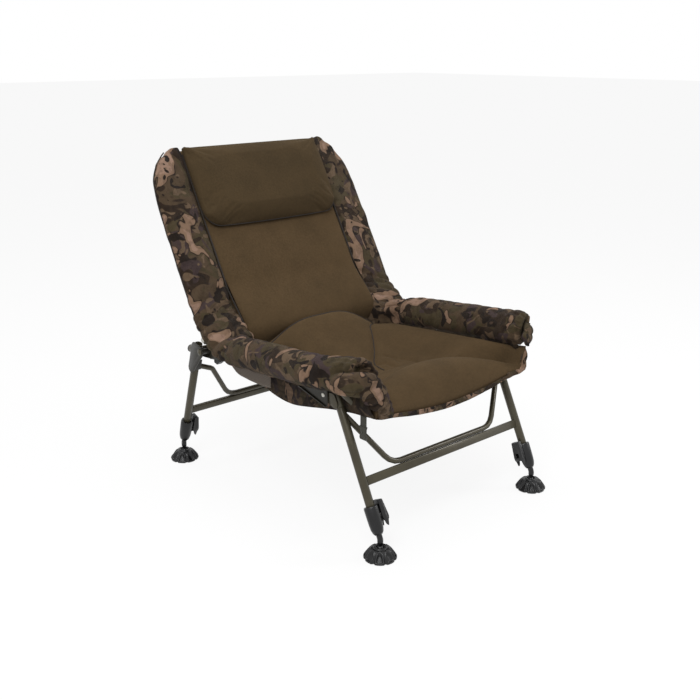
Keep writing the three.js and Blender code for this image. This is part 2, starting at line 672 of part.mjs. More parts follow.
const blockProfile = (bottom) => {
  const bore = legRadius + seatGap;
  const stalkBore = stalkRadius + seatGap;
  return [
    v2(bore, blockTop),
    v2(bore, blockTop - legSocket - seatGap),
    v2(stalkBore, blockTop - legSocket - seatGap),
    v2(stalkBore, bottom),
    v2(blockNeck, bottom),
    v2(lerp(blockNeck, blockRadius, 0.45), bottom + blockLength * 0.07),
    v2(lerp(blockNeck, blockRadius, 0.8), bottom + blockLength * 0.2),
    v2(blockRadius * 0.97, bottom + blockLength * 0.38),
    v2(blockRadius, bottom + blockLength * 0.6),
    v2(blockRadius * 1.02, blockTop - blockLength * 0.05),
    v2(blockRadius * 0.95, blockTop),
    v2(bore, blockTop),
  ];
};
const blockBottom = blockTop - blockLength;
const cheek = 3.5;
const buildAdjuster = (frame, name, half, s) => {
  const inward = -s;
  // the block is modelled with the lever towards +X, then turned to face inward
  const body = new THREE.LatheGeometry(blockProfile(blockBottom), 14).rotateX(Math.PI / 2);
  const bossWide = leverWidth - 2 * cheek - 2 * seatGap;
  const boss = plateX(beltOutline([[0, leverUp, leverRound * 0.6]], 12), 0, 1)
    .scale(bossWide, 1, 1).translate(-bossWide / 2, 0, 0).rotateZ(-Math.PI / 2)
    .translate(leverReach, 0, 0);
  const web = boxOf(blockRadius * 0.85, leverReach, -bossWide / 2, bossWide / 2, leverUp - leverRound * 0.6, leverUp + leverRound * 0.6);
  const pinHole = rod(boltRadius * 0.5 + seatGap, 3 * blockRadius, 8).translate(leverReach, 0, leverUp);
  const block = cut(join(body, boss, web), pinHole);
  piece(frame, `${name}_block`, mirrorX(block, inward).translate(s * half, 0, 0), blackPlastic);

  // cam lever, its origin on its pin
  const shape = new THREE.Shape();
  const innerFace = blockRadius * 1.02 + seatGap * 2 - leverReach;
  const outerTop = blockRadius * 1.72 - leverReach;
  shape.moveTo(innerFace, leverLength);
  shape.lineTo(innerFace, leverRound * 0.4);
  for (let i = 0; i <= 6; i += 1) {
    const a = rad(200 + 160 * i / 6);
    shape.lineTo(leverRound * Math.cos(a), leverRound * Math.sin(a));
  }
  shape.lineTo(leverRound, leverRound * 0.6);
  shape.lineTo(outerTop + leverRound * 0.15, leverLength - leverRound * 0.15);
  shape.lineTo(outerTop - leverRound * 0.2, leverLength);
  const plan = new THREE.ExtrudeGeometry(shape, { depth: leverWidth, bevelEnabled: false })
    .rotateX(Math.PI / 2).translate(0, leverWidth / 2, 0);
  const slotHalf = leverWidth / 2 - cheek;
  const slotTop = leverRound * 1.6;
  const slot = boxOf(innerFace - cutOver, leverRound * 0.65, -slotHalf, slotHalf, -leverRound - cutOver, slotTop);
  const thumb = rod(leverWidth * 0.8, leverWidth * 2, 16).rotateX(Math.PI / 2)
    .translate(leverRound + leverWidth * 0.62, 0, leverLength * 0.55).scale(1, 1, 1);
  const pin = rod(boltRadius * 0.5, leverWidth + seatGap, 8);
  const lever = join(cut(plan, slot, thumb), pin);
  const mesh = piece(frame, `${name}_lever`, mirrorX(lever, inward), blackPlastic);
  mesh.position.set(s * half + inward * leverReach, 0, leverUp);
};

// The stalk runs up inside the leg, bends upright below the block and ends in a ball
const buildStalk = (frame, name, half, s, lean) => {
  const foot = new THREE.Group();
  const knee = blockBottom * 0.82;
  const down = v3(0, 0, -1).applyAxisAngle(v3(1, 0, 0), lean);
  const ball = v3(0, 0, knee).addScaledVector(down, knee * Math.cos(lean) - ballHeight);
  const neckEnd = ballRadius * 1.8;
  const neck = ball.clone().addScaledVector(down, -neckEnd);
  const path = bentPath([v3(0, 0, stalkInside + blockBottom), v3(0, 0, knee), neck], stalkRadius * 2);
  const stalk = new THREE.ExtrudeGeometry(ringShape(stalkRadius, 0, 10), {
    steps: path.points.length - 1,
    extrudePath: path,
  });
  const ballShape = new THREE.SphereGeometry(ballRadius, 10, 6).translate(...ball.toArray());
  const coneTop = neckEnd + stalkRadius * 0.3;
  const cone = new THREE.CylinderGeometry(stalkRadius * 0.93, ballRadius * 0.45, coneTop - ballRadius * 0.5, 10)
    .rotateY(bendStep / 2).translate(0, (coneTop + ballRadius * 0.5) / 2, 0).rotateX(Math.PI / 2 + lean)
    .translate(...ball.toArray());
  const geometry = join(stalk, ballShape, cone);
  geometry.translate(...ball.clone().negate().toArray());
  const mesh = piece(frame, `${name}_stalk`, geometry, blackPlastic);
  mesh.position.set(s * half, ball.y, ball.z);
  foot.position.set(s * half, ball.y, ball.z);
  foot.rotation.x = lean;
  frame.add(foot);
  return foot;
};

// Mud foot: a scalloped dome with a socket on top and a hollow underside
const footFacets = 24;
const footWall = 3;
const domeShares = [
  [1.0, 0.0],
  [1.0, 0.14],
  [0.9, 0.4],
  [0.68, 0.7],
  [0.45, 0.9],
  [0.33, 1.0],
];
const footGeometry = () => {
  const lobe = (a) => 0.5 + 0.5 * Math.cos(footScallops * a);
  const ringAt = (share, height, scallop, dent) => Array.from({ length: footFacets }, (_, i) => {
    const a = 2 * Math.PI * i / footFacets;
    const r = footRadius * share - footRadius * scallop * (1 - lobe(a)) - footRadius * dent * lobe(a);
    return v3(r * Math.cos(a), r * Math.sin(a), height);
  });
  const scallops = [0.07, 0.06, 0.02, 0, 0, 0];
  const dents = [0, 0.03, 0.1, 0.06, 0, 0];
  const rings = domeShares.map(([r, h], i) => ringAt(r, h * footHeight, scallops[i], dents[i]));
  const dome = loft(rings);
  const under = loft([
    ringAt(0.8, -cutOver, 0, 0),
    ringAt(0.8, 0, 0, 0),
    ringAt(0.55, footHeight * 0.36, 0, 0),
  ]);
  const socket = new THREE.SphereGeometry((ballRadius + seatGap) / Math.cos(Math.PI / 8), 10, 6).translate(0, 0, ballHeight);
  const mouth = new THREE.CylinderGeometry(ballRadius * 1.65, ballRadius * 0.75, ballRadius * 2, 10)
    .rotateX(Math.PI / 2).translate(0, 0, ballHeight + ballRadius * 1.4);
  return cut(dome, under, socket, mouth).translate(0, 0, -ballHeight);
};
for (const [frame, end, half, lean] of [
  [frontFrame, 'front', frontHalf, frontLean],
  [rearFrame, 'rear', rearHalf, -rearLean],
]) {
  for (const [side, s] of both) {
    buildAdjuster(frame, `${end}_${side}`, half, s);
    const holder = buildStalk(frame, `${end}_${side}`, half, s, lean);
    piece(holder, `${end}_${side}_foot`, footGeometry(), blackPlastic);
  }
}

// Back frame: the U tube with its hinge bolts

const backPath = [
  v3(-backHalf, 0, 0),
  v3(-backTopHalf, 0, backTubeTop),
  v3(backTopHalf, 0, backTubeTop),
  v3(backHalf, 0, 0),
];
const backTube = (extra, wall, from) => {
  const low = -from;
  const path = backPath.map((p, i) => (i === 0 || i === 3 ? v3(p.x, 0, low) : p.clone()));
  return bentTube(path, backCorner, backRadius + extra, wall);
};
const backBoltHole = (s) => rodX(boltRadius + seatGap, s * railHalf, s * (backHalf + 2 * backRadius), 12);
piece(
  backFrame,
  'back_tube',
  cut(backTube(0, backWall, backRadius), backBoltHole(-1), backBoltHole(1)),
  oliveSteel,
);
for (const [side, s] of both) {
  const reach = backHalf + backRadius - rearPlateIn;
  const bolt = new THREE.LatheGeometry([
    v2(0, 0),
    v2(boltRadius, 0),
    v2(boltRadius, reach + seatGap),
    v2(boltRadius * 1.8, reach + seatGap),
    v2(boltRadius * 1.8, reach + plateThick),
    v2(boltRadius, reach + 1.6 * plateThick),
    v2(0, reach + 1.8 * plateThick),
  ], 12).rotateZ(-Math.PI / 2).translate(rearPlateIn, 0, 0);
  piece(backFrame, `back_hinge_bolt_${side}`, mirrorX(bolt, s), zinc);
}

// Soft back: centre cushion, two side borders and the headrest pillow

const cushionInset = 109;       // from the tube's axis inward to the cushion's side
const cushionHalf = backHalf - cushionInset;
const cushionRise = 20;         // over the tube's top run
const cushionTop = backTubeTop + cushionRise;
const cushionRear = 16;
const cushionFront = 15;
const cushionCrown = 12;
const lumbarRadius = 52;        // the round lower end turns about the hinge line
const pillowDeep = 246;         // from the top of the cushion down to the pillow's foot
const pillowFoot = cushionTop - pillowDeep;
const pillowThick = 34;
const borderSeam = 3.5;         // between the cushion's side and the border
const borderInner = cushionHalf + borderSeam;
const borderWrap = 27;          // the border's edge outside the tube's axis
const borderOuter = backHalf + borderWrap;
const borderFoot = 32;
const borderRear = 17;
const borderFront = 22;
const tunnel = backTube(seatGap, 0, backRadius + cutOver);

// Local frame of the back: x across, -y to the sitter, z up along the back
const cushionNu = 14;
const cushionProfile = (x) => {
  // closed outline of the cushion in (forward, up) for one place across
  const inset = cushionHalf - Math.abs(x);
  const fall = edgeRound(inset, cushionFront * 1.8);
  const outline = [];
  const turns = 7;
  for (let i = 0; i <= turns; i += 1) {
    const a = lerp(rad(-160), rad(0), i / turns);
    const r = lumbarRadius * lerp(0.84, 1, fall);
    const shape = i < 3 ? lerp(cushionRear / lumbarRadius, 1, i / 3) : 1;
    outline.push([r * Math.cos(a) * shape, r * Math.sin(a)]);
  }
  const rise = 11;
  for (let i = 1; i <= rise; i += 1) {
    const w = i / rise;
    const up = w * cushionTop;
    const belly = (1 - smoothstep(w, 0, 0.26)) * (lumbarRadius - cushionFront);
    const crown = cushionCrown * Math.sin(Math.PI * clamp(w / 0.56, 0, 1)) ** 1.6;
    const end = edgeRound((1 - w) * cushionTop, cushionFront);
    outline.push([(cushionFront + belly + crown * fall) * lerp(0.45, 1, fall) * lerp(0.3, 1, end), up]);
  }
  outline.push([-cushionRear * lerp(0.45, 1, fall) * 0.5, cushionTop]);
  outline.push([-cushionRear * lerp(0.6, 1, fall), cushionTop - cushionFront * 0.7]);
  for (let i = 1; i <= 3; i += 1) {
    const w = 1 - i / 4;
    outline.push([-cushionRear * lerp(0.6, 1, fall), w * cushionTop]);
  }
  return outline;
};
const cushionRings = [];
for (let i = 0; i <= cushionNu; i += 1) {
  const t = i / cushionNu;
  const x = -cushionHalf * Math.cos(Math.PI * t) * lerp(1, 0.92, Math.sin(Math.PI * t) ** 2);
  cushionRings.push(cushionProfile(x).map(([f, up]) => v3(x, -f, up)));
}
const backCushion = cut(loft(cushionRings), tunnel);
piece(backFrame, 'back_cushion', backCushion, fleece);

// Side borders, rounded at the top corners, padded round the tube
// [height share of the cushion top, half width share of the border's outer edge]
const borderOutShares = [
  [0, 1], [0.5, 0.968], [0.79, 0.945], [0.86, 0.922], [0.905, 0.889], [0.95, 0.841], [0.98, 0.797],
  [1, 0.763], [1.012, 0.72],
];
const borderOut = (up) => borderOuter * fromTable(borderOutShares, up / cushionTop);
const borderDrop = 34;          // the inner part of the border hangs lower, beside the hinge
for (const [side, s] of both) {
  const rings = [];
  const rows = 13;
  for (let k = 0; k <= rows; k += 1) {
    const w = k / rows;
    const up = lerp(borderFoot, cushionTop + cutOver * 0.8, 1 - (1 - w) ** 1.35);
    const outer = Math.max(borderOut(Math.min(up, cushionTop + cutOver * 0.8)), borderInner + borderFront);
    const end = edgeRound(Math.min(up - borderFoot, cushionTop + cutOver - up) + borderRear * 0.3, borderRear);
    const ring = [];
    const points = 14;
    for (let i = 0; i < points; i += 1) {
      const a = 2 * Math.PI * i / points;
      const cx = (borderInner + outer) / 2;
      const rx = (outer - borderInner) / 2;
      const cosA = Math.sign(Math.cos(a)) * Math.abs(Math.cos(a)) ** 0.6;
      const sinA = Math.sign(Math.sin(a)) * Math.abs(Math.sin(a)) ** 0.8;
      const depth = (sinA > 0 ? borderFront : borderRear) * lerp(0.55, 1, end);
      const x = cx + rx * cosA;
      const hang = borderDrop * (1 - smoothstep(x, borderInner * 1.2, borderInner * 1.34)) * (1 - w) ** 3;
      ring.push(v3(x, -depth * sinA, up - hang));
    }
    rings.push(ring.reverse());
  }
  const border = cut(mirrorX(loft(rings), s), tunnel);
  piece(backFrame, `back_border_${side}`, border, camo);
}

// Headrest pillow on the front of the cushion
const pillowHalf = borderInner - 2 * seatGap;
const pillowFaces = (front) => (u, v) => {
  const x = (2 * u - 1) * pillowHalf;
  const corner = pillowThick * 1.4;
  const insetX = pillowHalf - Math.abs(x);
  const lift = insetX < corner ? corner - Math.sqrt(corner * corner - (corner - insetX) ** 2) : 0;
  const up = lerp(pillowFoot + lift, cushionTop, v);
  const inset = Math.min(insetX, up - pillowFoot - lift, cushionTop - up);
  const fall = edgeRound(inset + seatGap, pillowThick * 1.1);
  const base = cushionFront + 3 * seatGap;
  const crown = lerp(1, 1.12, Math.sin(Math.PI * v)) / 1.12;
  return v3(x, front ? -(base + pillowThick * lerp(0.3, 1, fall) * crown) : -base, up);
};
const pillow = padded(pillowFaces(true), pillowFaces(false), 14, 7);
piece(backFrame, 'headrest_pillow', pillow, fleece);

// Seat: padded sling with a front bolster and a round basin

const seatInset = 46;           // from the rail's axis inward to the side of the pad
const seatHalf = railHalf - seatInset;
const seatOverhang = 33;        // the pad's nose ahead of the rail ends
const seatFrontY = railFrontY - seatOverhang;
const seatRearGap = 58;         // from the back hinge forward to the pad's rear edge
const seatRearY = backPivotY - seatRearGap;
const seatDepth = seatRearY - seatFrontY;
const seatDrop = 108.5;         // the underside at its lowest, below the rail at y = 0
const seatLowest = railHeight - seatDrop;
const seatSpan = 140;           // what the height shares below are taken of
const topMiddleShares = [
  [0, 0.36], [0.035, 0.6], [0.08, 0.78], [0.13, 0.85], [0.2, 0.72], [0.28, 0.46],
  [0.38, 0.27], [0.5, 0.23], [0.62, 0.28], [0.74, 0.4], [0.86, 0.6], [0.95, 0.76], [1, 0.78],
];
const topSideShares = [
  [0, 0.52], [0.04, 0.56], [0.08, 0.61], [0.13, 0.72], [0.2, 0.83], [0.3, 0.88], [0.6, 0.8], [0.85, 0.7], [0.96, 0.66], [1, 0.62],
];
const underShares = [
  [0, 0.2], [0.06, 0.17], [0.14, 0.13], [0.26, 0.07], [0.42, 0.02], [0.6, 0], [0.72, 0.04],
  [0.82, 0.13], [0.9, 0.27], [1, 0.5],
];
const underSideShares = [
  [0, 0.46], [0.05, 0.43], [0.14, 0.38], [0.2, 0.34], [0.28, 0.28], [0.36, 0.21], [0.45, 0.13], [0.56, 0.05], [0.72, 0.08],
  [0.82, 0.18], [0.9, 0.3], [1, 0.52],
];
const seatX = (u) => (2 * u - 1) * seatHalf;
const seatY = (v) => lerp(seatFrontY, seatRearY, v);
const seatTop = (x, v) => {
  const out = Math.abs(x) / seatHalf;
  const bowl = smoothstep(out, 0.42, 0.98) ** 1.2;
  return seatLowest + seatSpan * lerp(fromTable(topMiddleShares, v), fromTable(topSideShares, v), bowl);
};
const seatUnder = (x, v) => {
  const out = Math.abs(x) / seatHalf;
  const lift = smoothstep(out, 0.3, 1);
  return seatLowest + seatSpan * lerp(fromTable(underShares, v), fromTable(underSideShares, v), lift);
};
const seatNu = 16;
const seatNv = 21;
const seatPad = padded(
  (u, v) => v3(seatX(u), seatY(v), seatTop(seatX(u), v)),
  (u, v) => v3(seatX(u), seatY(v), seatUnder(seatX(u), v)),
  seatNu,
  seatNv,
);
const crossTunnel = bentTube(frontCrossPath, frontCrossBend, crossRadius + seatGap, 0, 12);
piece(chair, 'seat_pad', cut(seatPad, crossTunnel), fleece);

// Front border, a narrow strip along the seat's front edge
const stripThick = 7;
const stripShare = 0.055;
const stripHeight = 20;
const strip = padded(
  (u, v) => {
    const x = seatX(u);
    const low = seatUnder(x, 0);
    return v3(x, seatFrontY - seatGap - stripThick * Math.sin(Math.PI * lerp(0.15, 0.85, v)), low + v * stripHeight);
  },
  (u, v) => v3(seatX(u), seatFrontY - seatGap, seatUnder(seatX(u), 0) + v * stripHeight),
  18,
  2,
);
piece(chair, 'seat_front_border', strip, camo);

// Side panels, hanging cloth from the rail sleeves down beside the pad
const panelThick = 2;
for (const [side, s] of both) {
  const face = (outward) => (u, v) => {
    const y = lerp(seatFrontY + stripHeight, seatRearY - stripHeight, u);
    const share = (y - seatFrontY) / seatDepth;
    const low = seatUnder(seatHalf, share) + seatGap;
    const high = seatTop(seatHalf, share) - 2 * seatGap;
    const x = seatHalf + seatGap + (outward ? panelThick : 0);
    return v3(x, y, lerp(low, high, v));
  };
  const panel = padded(face(true), face(false), 12, 2);
  piece(chair, `seat_side_panel_${side}`, mirrorX(cut(panel, crossTunnel), s), camo);
}

// Arm rolls: foam rolls on the rails, gathered at the front, drawn in at the rear

const rollOutset = 3;
const rollHalf = railHalf + rollOutset;
const rollRadius = 42;
const rollOverhang = 27;        // the roll's front end ahead of the rail
const rollFrontY = railFrontY - rollOverhang;
const rollRearGap = 58;         // from the back hinge forward to the roll's rear end
const rollRearY = backPivotY - rollRearGap;
const rollOverRail = 31;        // roll axis above the rail axis
const sleeveRadius = 15;
const rollShares = [
  [0, 0.72], [0.012, 0.86], [0.04, 0.97], [0.1, 1], [0.3, 1.02], [0.6, 1], [0.8, 0.98],
  [0.9, 0.9], [0.96, 0.76], [1, 0.55],
];
for (const [side, s] of both) {
  const rings = [];
  const stations = [0, 0.012, 0.04, 0.1, 0.33, 0.6, 0.78, 0.86, 0.92, 0.97, 1];
  for (const w of stations) {
    const y = lerp(rollFrontY, rollRearY, w);
    const r = rollRadius * fromTable(rollShares, w);
    const drop = w > 0.8 ? (w - 0.8) * rollRadius * 1.2 : 0;
    const z = railZ(y) + rollOverRail - drop;
    const points = 16;
    rings.push(Array.from({ length: points }, (_, i) => {
      const a = 2 * Math.PI * i / points;
      return v3(rollHalf + r * Math.cos(a), y, z + r * Math.sin(a));
    }).reverse());
  }
  const sleeveLength = (rollRearY - rollFrontY) * 0.97;
  const sleeve = alongRail(pipeY(sleeveRadius, 0, sleeveLength, 16), railHalf, (rollFrontY + rollRearY) / 2);
  const wingSlot = wingShape(1 * seatGap, wingIn - 2 * plateThick, railHalf);
  const roll = cut(join(loft(rings), sleeve), railTool(1, seatGap), crossTunnel, wingSlot);
  piece(chair, `arm_roll_${side}`, mirrorX(roll, s), camo);
}

// Sling bands, woven strips that hang from the rails at the rear
const bandThick = 2;
const bandX = railHalf - sleeveRadius - seatGap - bandThick;
const bandLength = 184;
const bandRearY = backPivotY - 48 * bandThick / 2;
const bandFrontY = bandRearY - bandLength;
const bandTopShares = [[0, 0.45], [1, 0.42]];
const bandLowShares = [[0, 1.72], [0.25, 1.7], [0.6, 1.55], [0.85, 1.3], [1, 0.85]];
const bandReach = 40;
for (const [side, s] of both) {
  const face = (outward) => (u, v) => {
    const y = lerp(bandFrontY, bandRearY, u);
    const high = railZ(y) + railRadius - bandReach * fromTable(bandTopShares, u);
    const low = railZ(y) + railRadius - bandReach * fromTable(bandLowShares, u);
    return v3(bandX + (outward ? bandThick : 0), y, lerp(low, high, v));
  };
  piece(chair, `sling_band_${side}`, mirrorX(padded(face(true), face(false), 8, 1), s), meshBand);
}

// Strap end with its buckle, it hangs from the seam below the right side panel
const strapBack = 33;           // behind the pad's front edge
const strapY = seatFrontY + strapBack;
const strapX = -(seatHalf + seatGap + panelThick / 2);
const strapWide = 21;
const strapLength = 52;
const strapThick = 2;
const buckleWide = 24;
const buckleLength = 34;
const buckleThick = 6;
const strapTop = seatUnder(seatHalf, (strapY + strapWide / 2 - seatFrontY) / seatDepth) - 2 * seatGap;
const buckleSide = (turn) => [
  v2(buckleWide / 2, 0),
  v2(buckleWide * 0.34, -buckleLength * 0.3),
  v2(buckleWide * 0.34, -buckleLength * 0.62),
  v2(buckleWide / 2, -buckleLength * 0.82),
  v2(buckleWide * 0.42, -buckleLength),
].map((p) => v2(turn * p.x, p.y));
const buckleOutline = [...buckleSide(1), ...buckleSide(-1).reverse()].map((p) => v2(p.x, p.y - strapLength * 0.55));
const strap = join(
  boxOf(-strapThick / 2, strapThick / 2, -strapWide / 2, strapWide / 2, -strapLength, 0),
  plateX(buckleOutline.reverse(), -buckleThick / 2, buckleThick / 2),
  rodX(strapThick, -buckleThick * 0.9, buckleThick * 0.9, 10).translate(0, 0, -strapLength * 0.55 - buckleLength * 0.45),
);
const strapMesh = piece(chair, 'strap_buckle', strap, webbing);
strapMesh.position.set(strapX, strapY, strapTop);

// The origin goes under the middle of the chair, on the ground

chair.updateMatrixWorld(true);
const box = new THREE.Box3().setFromObject(chair);
const whole = new THREE.Group();
const centre = box.getCenter(v3(0, 0, 0));
chair.position.set(0, -centre.y, -box.min.z);
whole.add(chair);
whole.updateMatrixWorld(true);

export default whole;
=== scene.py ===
# %% [markdown]
# # A folding fishing chair
# The chair is two side rails that carry a padded sling seat, a reclined padded
# back on a bent tube, and two leg frames that fold under the seat.
# The frame of measured solids comes first. Everything below is placed from it,
# so that each cushion, tube and bolt stays where the real chair has it.

import bpy
import bmesh
import json
import math
import numpy as np
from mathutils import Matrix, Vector, noise


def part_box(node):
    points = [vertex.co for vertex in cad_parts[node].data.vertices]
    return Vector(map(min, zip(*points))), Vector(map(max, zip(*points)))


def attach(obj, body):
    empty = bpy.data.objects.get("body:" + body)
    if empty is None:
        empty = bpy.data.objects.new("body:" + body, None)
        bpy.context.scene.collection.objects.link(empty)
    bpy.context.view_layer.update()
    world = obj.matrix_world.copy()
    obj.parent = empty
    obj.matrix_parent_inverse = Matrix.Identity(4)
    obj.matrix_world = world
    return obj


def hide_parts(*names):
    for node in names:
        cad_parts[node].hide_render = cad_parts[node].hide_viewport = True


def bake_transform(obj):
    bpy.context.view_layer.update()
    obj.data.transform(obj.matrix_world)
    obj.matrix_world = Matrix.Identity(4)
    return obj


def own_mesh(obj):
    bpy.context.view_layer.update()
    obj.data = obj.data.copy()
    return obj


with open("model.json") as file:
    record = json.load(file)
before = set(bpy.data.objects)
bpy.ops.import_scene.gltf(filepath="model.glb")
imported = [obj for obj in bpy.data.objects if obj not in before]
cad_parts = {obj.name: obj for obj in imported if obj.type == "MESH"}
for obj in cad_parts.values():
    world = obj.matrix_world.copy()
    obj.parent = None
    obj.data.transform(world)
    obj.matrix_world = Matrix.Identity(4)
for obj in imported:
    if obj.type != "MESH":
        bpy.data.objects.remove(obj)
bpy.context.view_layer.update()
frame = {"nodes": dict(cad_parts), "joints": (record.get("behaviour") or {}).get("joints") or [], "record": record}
scene = bpy.context.scene
body_of_node = {
    node: body for body, members in frame["record"]["behaviour"]["bodies"].items() for node in members
}


# %% [markdown]
# Two lines place nearly everything. The back turns on its hinge line, and the
# arm rolls follow the two side rails, which rise a little to the front.
# Both are read from the solids' boxes, so they move if the chair is resized.

# %% The hinge line, the rails and the seat's box
def middle(node):
    low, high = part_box(node)
    return (low + high) / 2


RECLINE = math.radians(30.1)
RAIL_PITCH = math.radians(5.26)
hinge = middle("back_hinge_bolt_left")
seat_low, seat_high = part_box("seat_pad")
MM = 0.001
RAIL_BELOW_HINGE = 51.64 * MM
SIDES = (("left", 1), ("right", -1))


def back_points(x, forward, up):
    """Points given across, forward of and up along the back, in the row frame."""
    x, forward, up = np.broadcast_arrays(*(np.asarray(c, float) for c in (x, forward, up)))
    y = hinge.y + up * math.sin(RECLINE) - forward * math.cos(RECLINE)
    z = hinge.z + up * math.cos(RECLINE) + forward * math.sin(RECLINE)
    return np.stack([x, y, z], -1)


def on_back(co):
    """How far forward of and up along the back points lie: back_points turned round."""
    y, z = co[:, 1] - hinge.y, co[:, 2] - hinge.z
    return z * math.sin(RECLINE) - y * math.cos(RECLINE), y * math.sin(RECLINE) + z * math.cos(RECLINE)


def rail_z(y):
    """Height of a side rail's axis at a place along the chair."""
    return hinge.z - RAIL_BELOW_HINGE + (hinge.y - y) * math.tan(RAIL_PITCH)


print("hinge", tuple(round(c, 4) for c in hinge))


# %% [markdown]
# Cloth changes smoothly, so each form is a table of a few measured values and a
# smooth curve through them. The same helper serves the seat, the rolls and the
# borders.

# %% A smooth curve through a table, rounded edges and smooth steps
def through(table, x):
    """A smooth curve through the table's points, flat outside its ends."""
    px, py = np.array(table, float).T
    slope = np.gradient(py, px)
    x = np.clip(np.asarray(x, float), px[0], px[-1])
    i = np.clip(np.searchsorted(px, x, side="right") - 1, 0, len(px) - 2)
    h = px[i + 1] - px[i]
    t = (x - px[i]) / h
    return (
        (2 * t**3 - 3 * t**2 + 1) * py[i]
        + (t**3 - 2 * t**2 + t) * h * slope[i]
        + (3 * t**2 - 2 * t**3) * py[i + 1]
        + (t**3 - t**2) * h * slope[i + 1]
    )


def step(x, low, high):
    """0 below low and 1 above high, with a smooth change between."""
    t = np.clip((np.asarray(x, float) - low) / (high - low), 0, 1)
    return t * t * (3 - 2 * t)


def around(count):
    """Angles evenly round a circle."""
    return np.linspace(0, 2 * math.pi, count, endpoint=False)


def squared(wave, power):
    """A sine or cosine with fuller shoulders, which turns a round section squarish."""
    return np.sign(wave) * np.abs(wave) ** power


def mix(a, b, t):
    """From a to b, by a share."""
    return a + (b - a) * t


def rounded(inset, radius):
    """Height share of a rounded edge at a distance inside it: 0 at the edge, 1 from radius on."""
    t = np.clip(np.asarray(inset, float) / radius, 0, 1)
    return np.sqrt(np.clip(1 - (1 - t) ** 2, 0, 1))


def to_line(points, line):
    """Distance of each point from a polyline, and where along it (0 to 1)."""
    line = np.asarray(line, float)
    best = np.full(len(points), 1e9)
    along = np.zeros(len(points))
    lengths = np.linalg.norm(np.diff(line, axis=0), axis=1)
    run = np.concatenate([[0], np.cumsum(lengths)])
    for i, (a, b) in enumerate(zip(line[:-1], line[1:])):
        d = b - a
        t = np.clip(((points - a) @ d) / max(d @ d, 1e-12), 0, 1)
        dist = np.linalg.norm(points - (a + t[:, None] * d), axis=1)
        near = dist < best
        best[near] = dist[near]
        along[near] = (run[i] + t[near] * lengths[i]) / run[-1]
    return best, along


def creased(phase):
    """Rounded ridges with sharp valleys between them, as gathered cloth has."""
    return 2 * np.abs(np.sin(phase / 2)) ** 0.6 - 1.4


def ripple(points, scales, seed):
    """Smooth noise from -1 to 1 at points, with its own size along each axis."""
    p = points * np.asarray(scales, float) + seed * 7.31
    return np.array([noise.noise(Vector(q)) for q in p])


# %% [markdown]
# A material is a graph of nodes. Wrapping a socket in a small class lets the
# graph be written as sums: adding, comparing or scaling a socket makes its Math
# node. One method makes every other node, with its settings set first.

# %% The shader's own arithmetic
def srgb(r, g, b):
    """A colour read from the photograph as 0 to 255, in the renderer's linear values."""
    def lin(c):
        c /= 255
        return c / 12.92 if c <= 0.04045 else ((c + 0.055) / 1.055) ** 2.4
    return (lin(r), lin(g), lin(b), 1.0)


class Wire:
    """One output socket of a finish. Python's operators add its Math nodes."""

    def __init__(self, finish, socket):
        self.finish, self.socket = finish, socket

    def math(self, operation, other, swap=False):
        first, second = (other, self) if swap else (self, other)
        return self.finish.node("ShaderNodeMath", {"operation": operation}, {0: first, 1: second}).out()

    def __add__(self, o): return self.math("ADD", o)
    def __radd__(self, o): return self.math("ADD", o, True)
    def __sub__(self, o): return self.math("SUBTRACT", o)
    def __rsub__(self, o): return self.math("SUBTRACT", o, True)
    def __mul__(self, o): return self.math("MULTIPLY", o)
    def __rmul__(self, o): return self.math("MULTIPLY", o, True)

    def above(self, edge, soft):
        """1 above the edge and 0 below it, with a soft change between."""
        return self.finish.node("ShaderNodeMapRange", {"interpolation_type": "SMOOTHSTEP"}, {
            "Value": self, "From Min": edge - soft, "From Max": edge + soft}).out("Result")


class Made:
    """A node that a finish has made."""

    def __init__(self, finish, node):
        self.finish, self.node = finish, node

    def out(self, name=0):
        return Wire(self.finish, self.node.outputs[name])


class Finish:
    """A material under construction."""

    def __init__(self, name):
        self.material = bpy.data.materials.new(name)
        self.material.use_nodes = True
        self.tree = self.material.node_tree
        self.tree.nodes.clear()
        self.place = self.node("ShaderNodeTexCoord").out("Object")

    def node(self, kind, settings=None, sockets=None):
        made = self.tree.nodes.new(kind)
        for key, value in (settings or {}).items():
            setattr(made, key, value)
        for key, value in (sockets or {}).items():
            socket = made.inputs[key]
            if isinstance(value, Wire):
                self.tree.links.new(value.socket, socket)
            else:
                socket.default_value = value
        return Made(self, made)

    def waves(self, direction, sockets):
        """Parallel ribs across a direction."""
        return self.node("ShaderNodeTexWave", {"bands_direction": direction}, sockets).out("Fac")

    def placed(self, scale=(1, 1, 1), move=(0, 0, 0), turn=(0, 0, 0)):
        """Object coordinates, moved, turned and scaled."""
        return self.node("ShaderNodeMapping", None, {
            "Vector": self.place, "Scale": scale, "Location": move, "Rotation": turn}).out()

    def noise(self, scale, detail=2.0, rough=0.5, where=None, warp=0.0):
        return self.node("ShaderNodeTexNoise", None, {
            "Vector": where or self.place, "Scale": scale, "Detail": detail,
            "Roughness": rough, "Distortion": warp}).out(0)

    def mixed(self, factor, a, b):
        """One colour or the other, by a factor."""
        return self.node("ShaderNodeMix", {"data_type": "RGBA"}, {
            0: factor, 6: a, 7: b}).out(2)

    def bump(self, height, strength, distance):
        return self.node("ShaderNodeBump", None, {
            "Height": height, "Strength": strength, "Distance": distance}).out()

    def surface(self, sockets):
        shader = self.node("ShaderNodeBsdfPrincipled", None, sockets)
        self.node("ShaderNodeOutputMaterial", None, {"Surface": shader.out()})
        return self.material


# %% [markdown]
# The seat, the back and the pillow are brushed microfleece. It has a short nap
# that lies in soft patches, so its colour wanders a little and it shines faintly
# where it turns away. The nap itself is a fine bump, about a millimetre across.

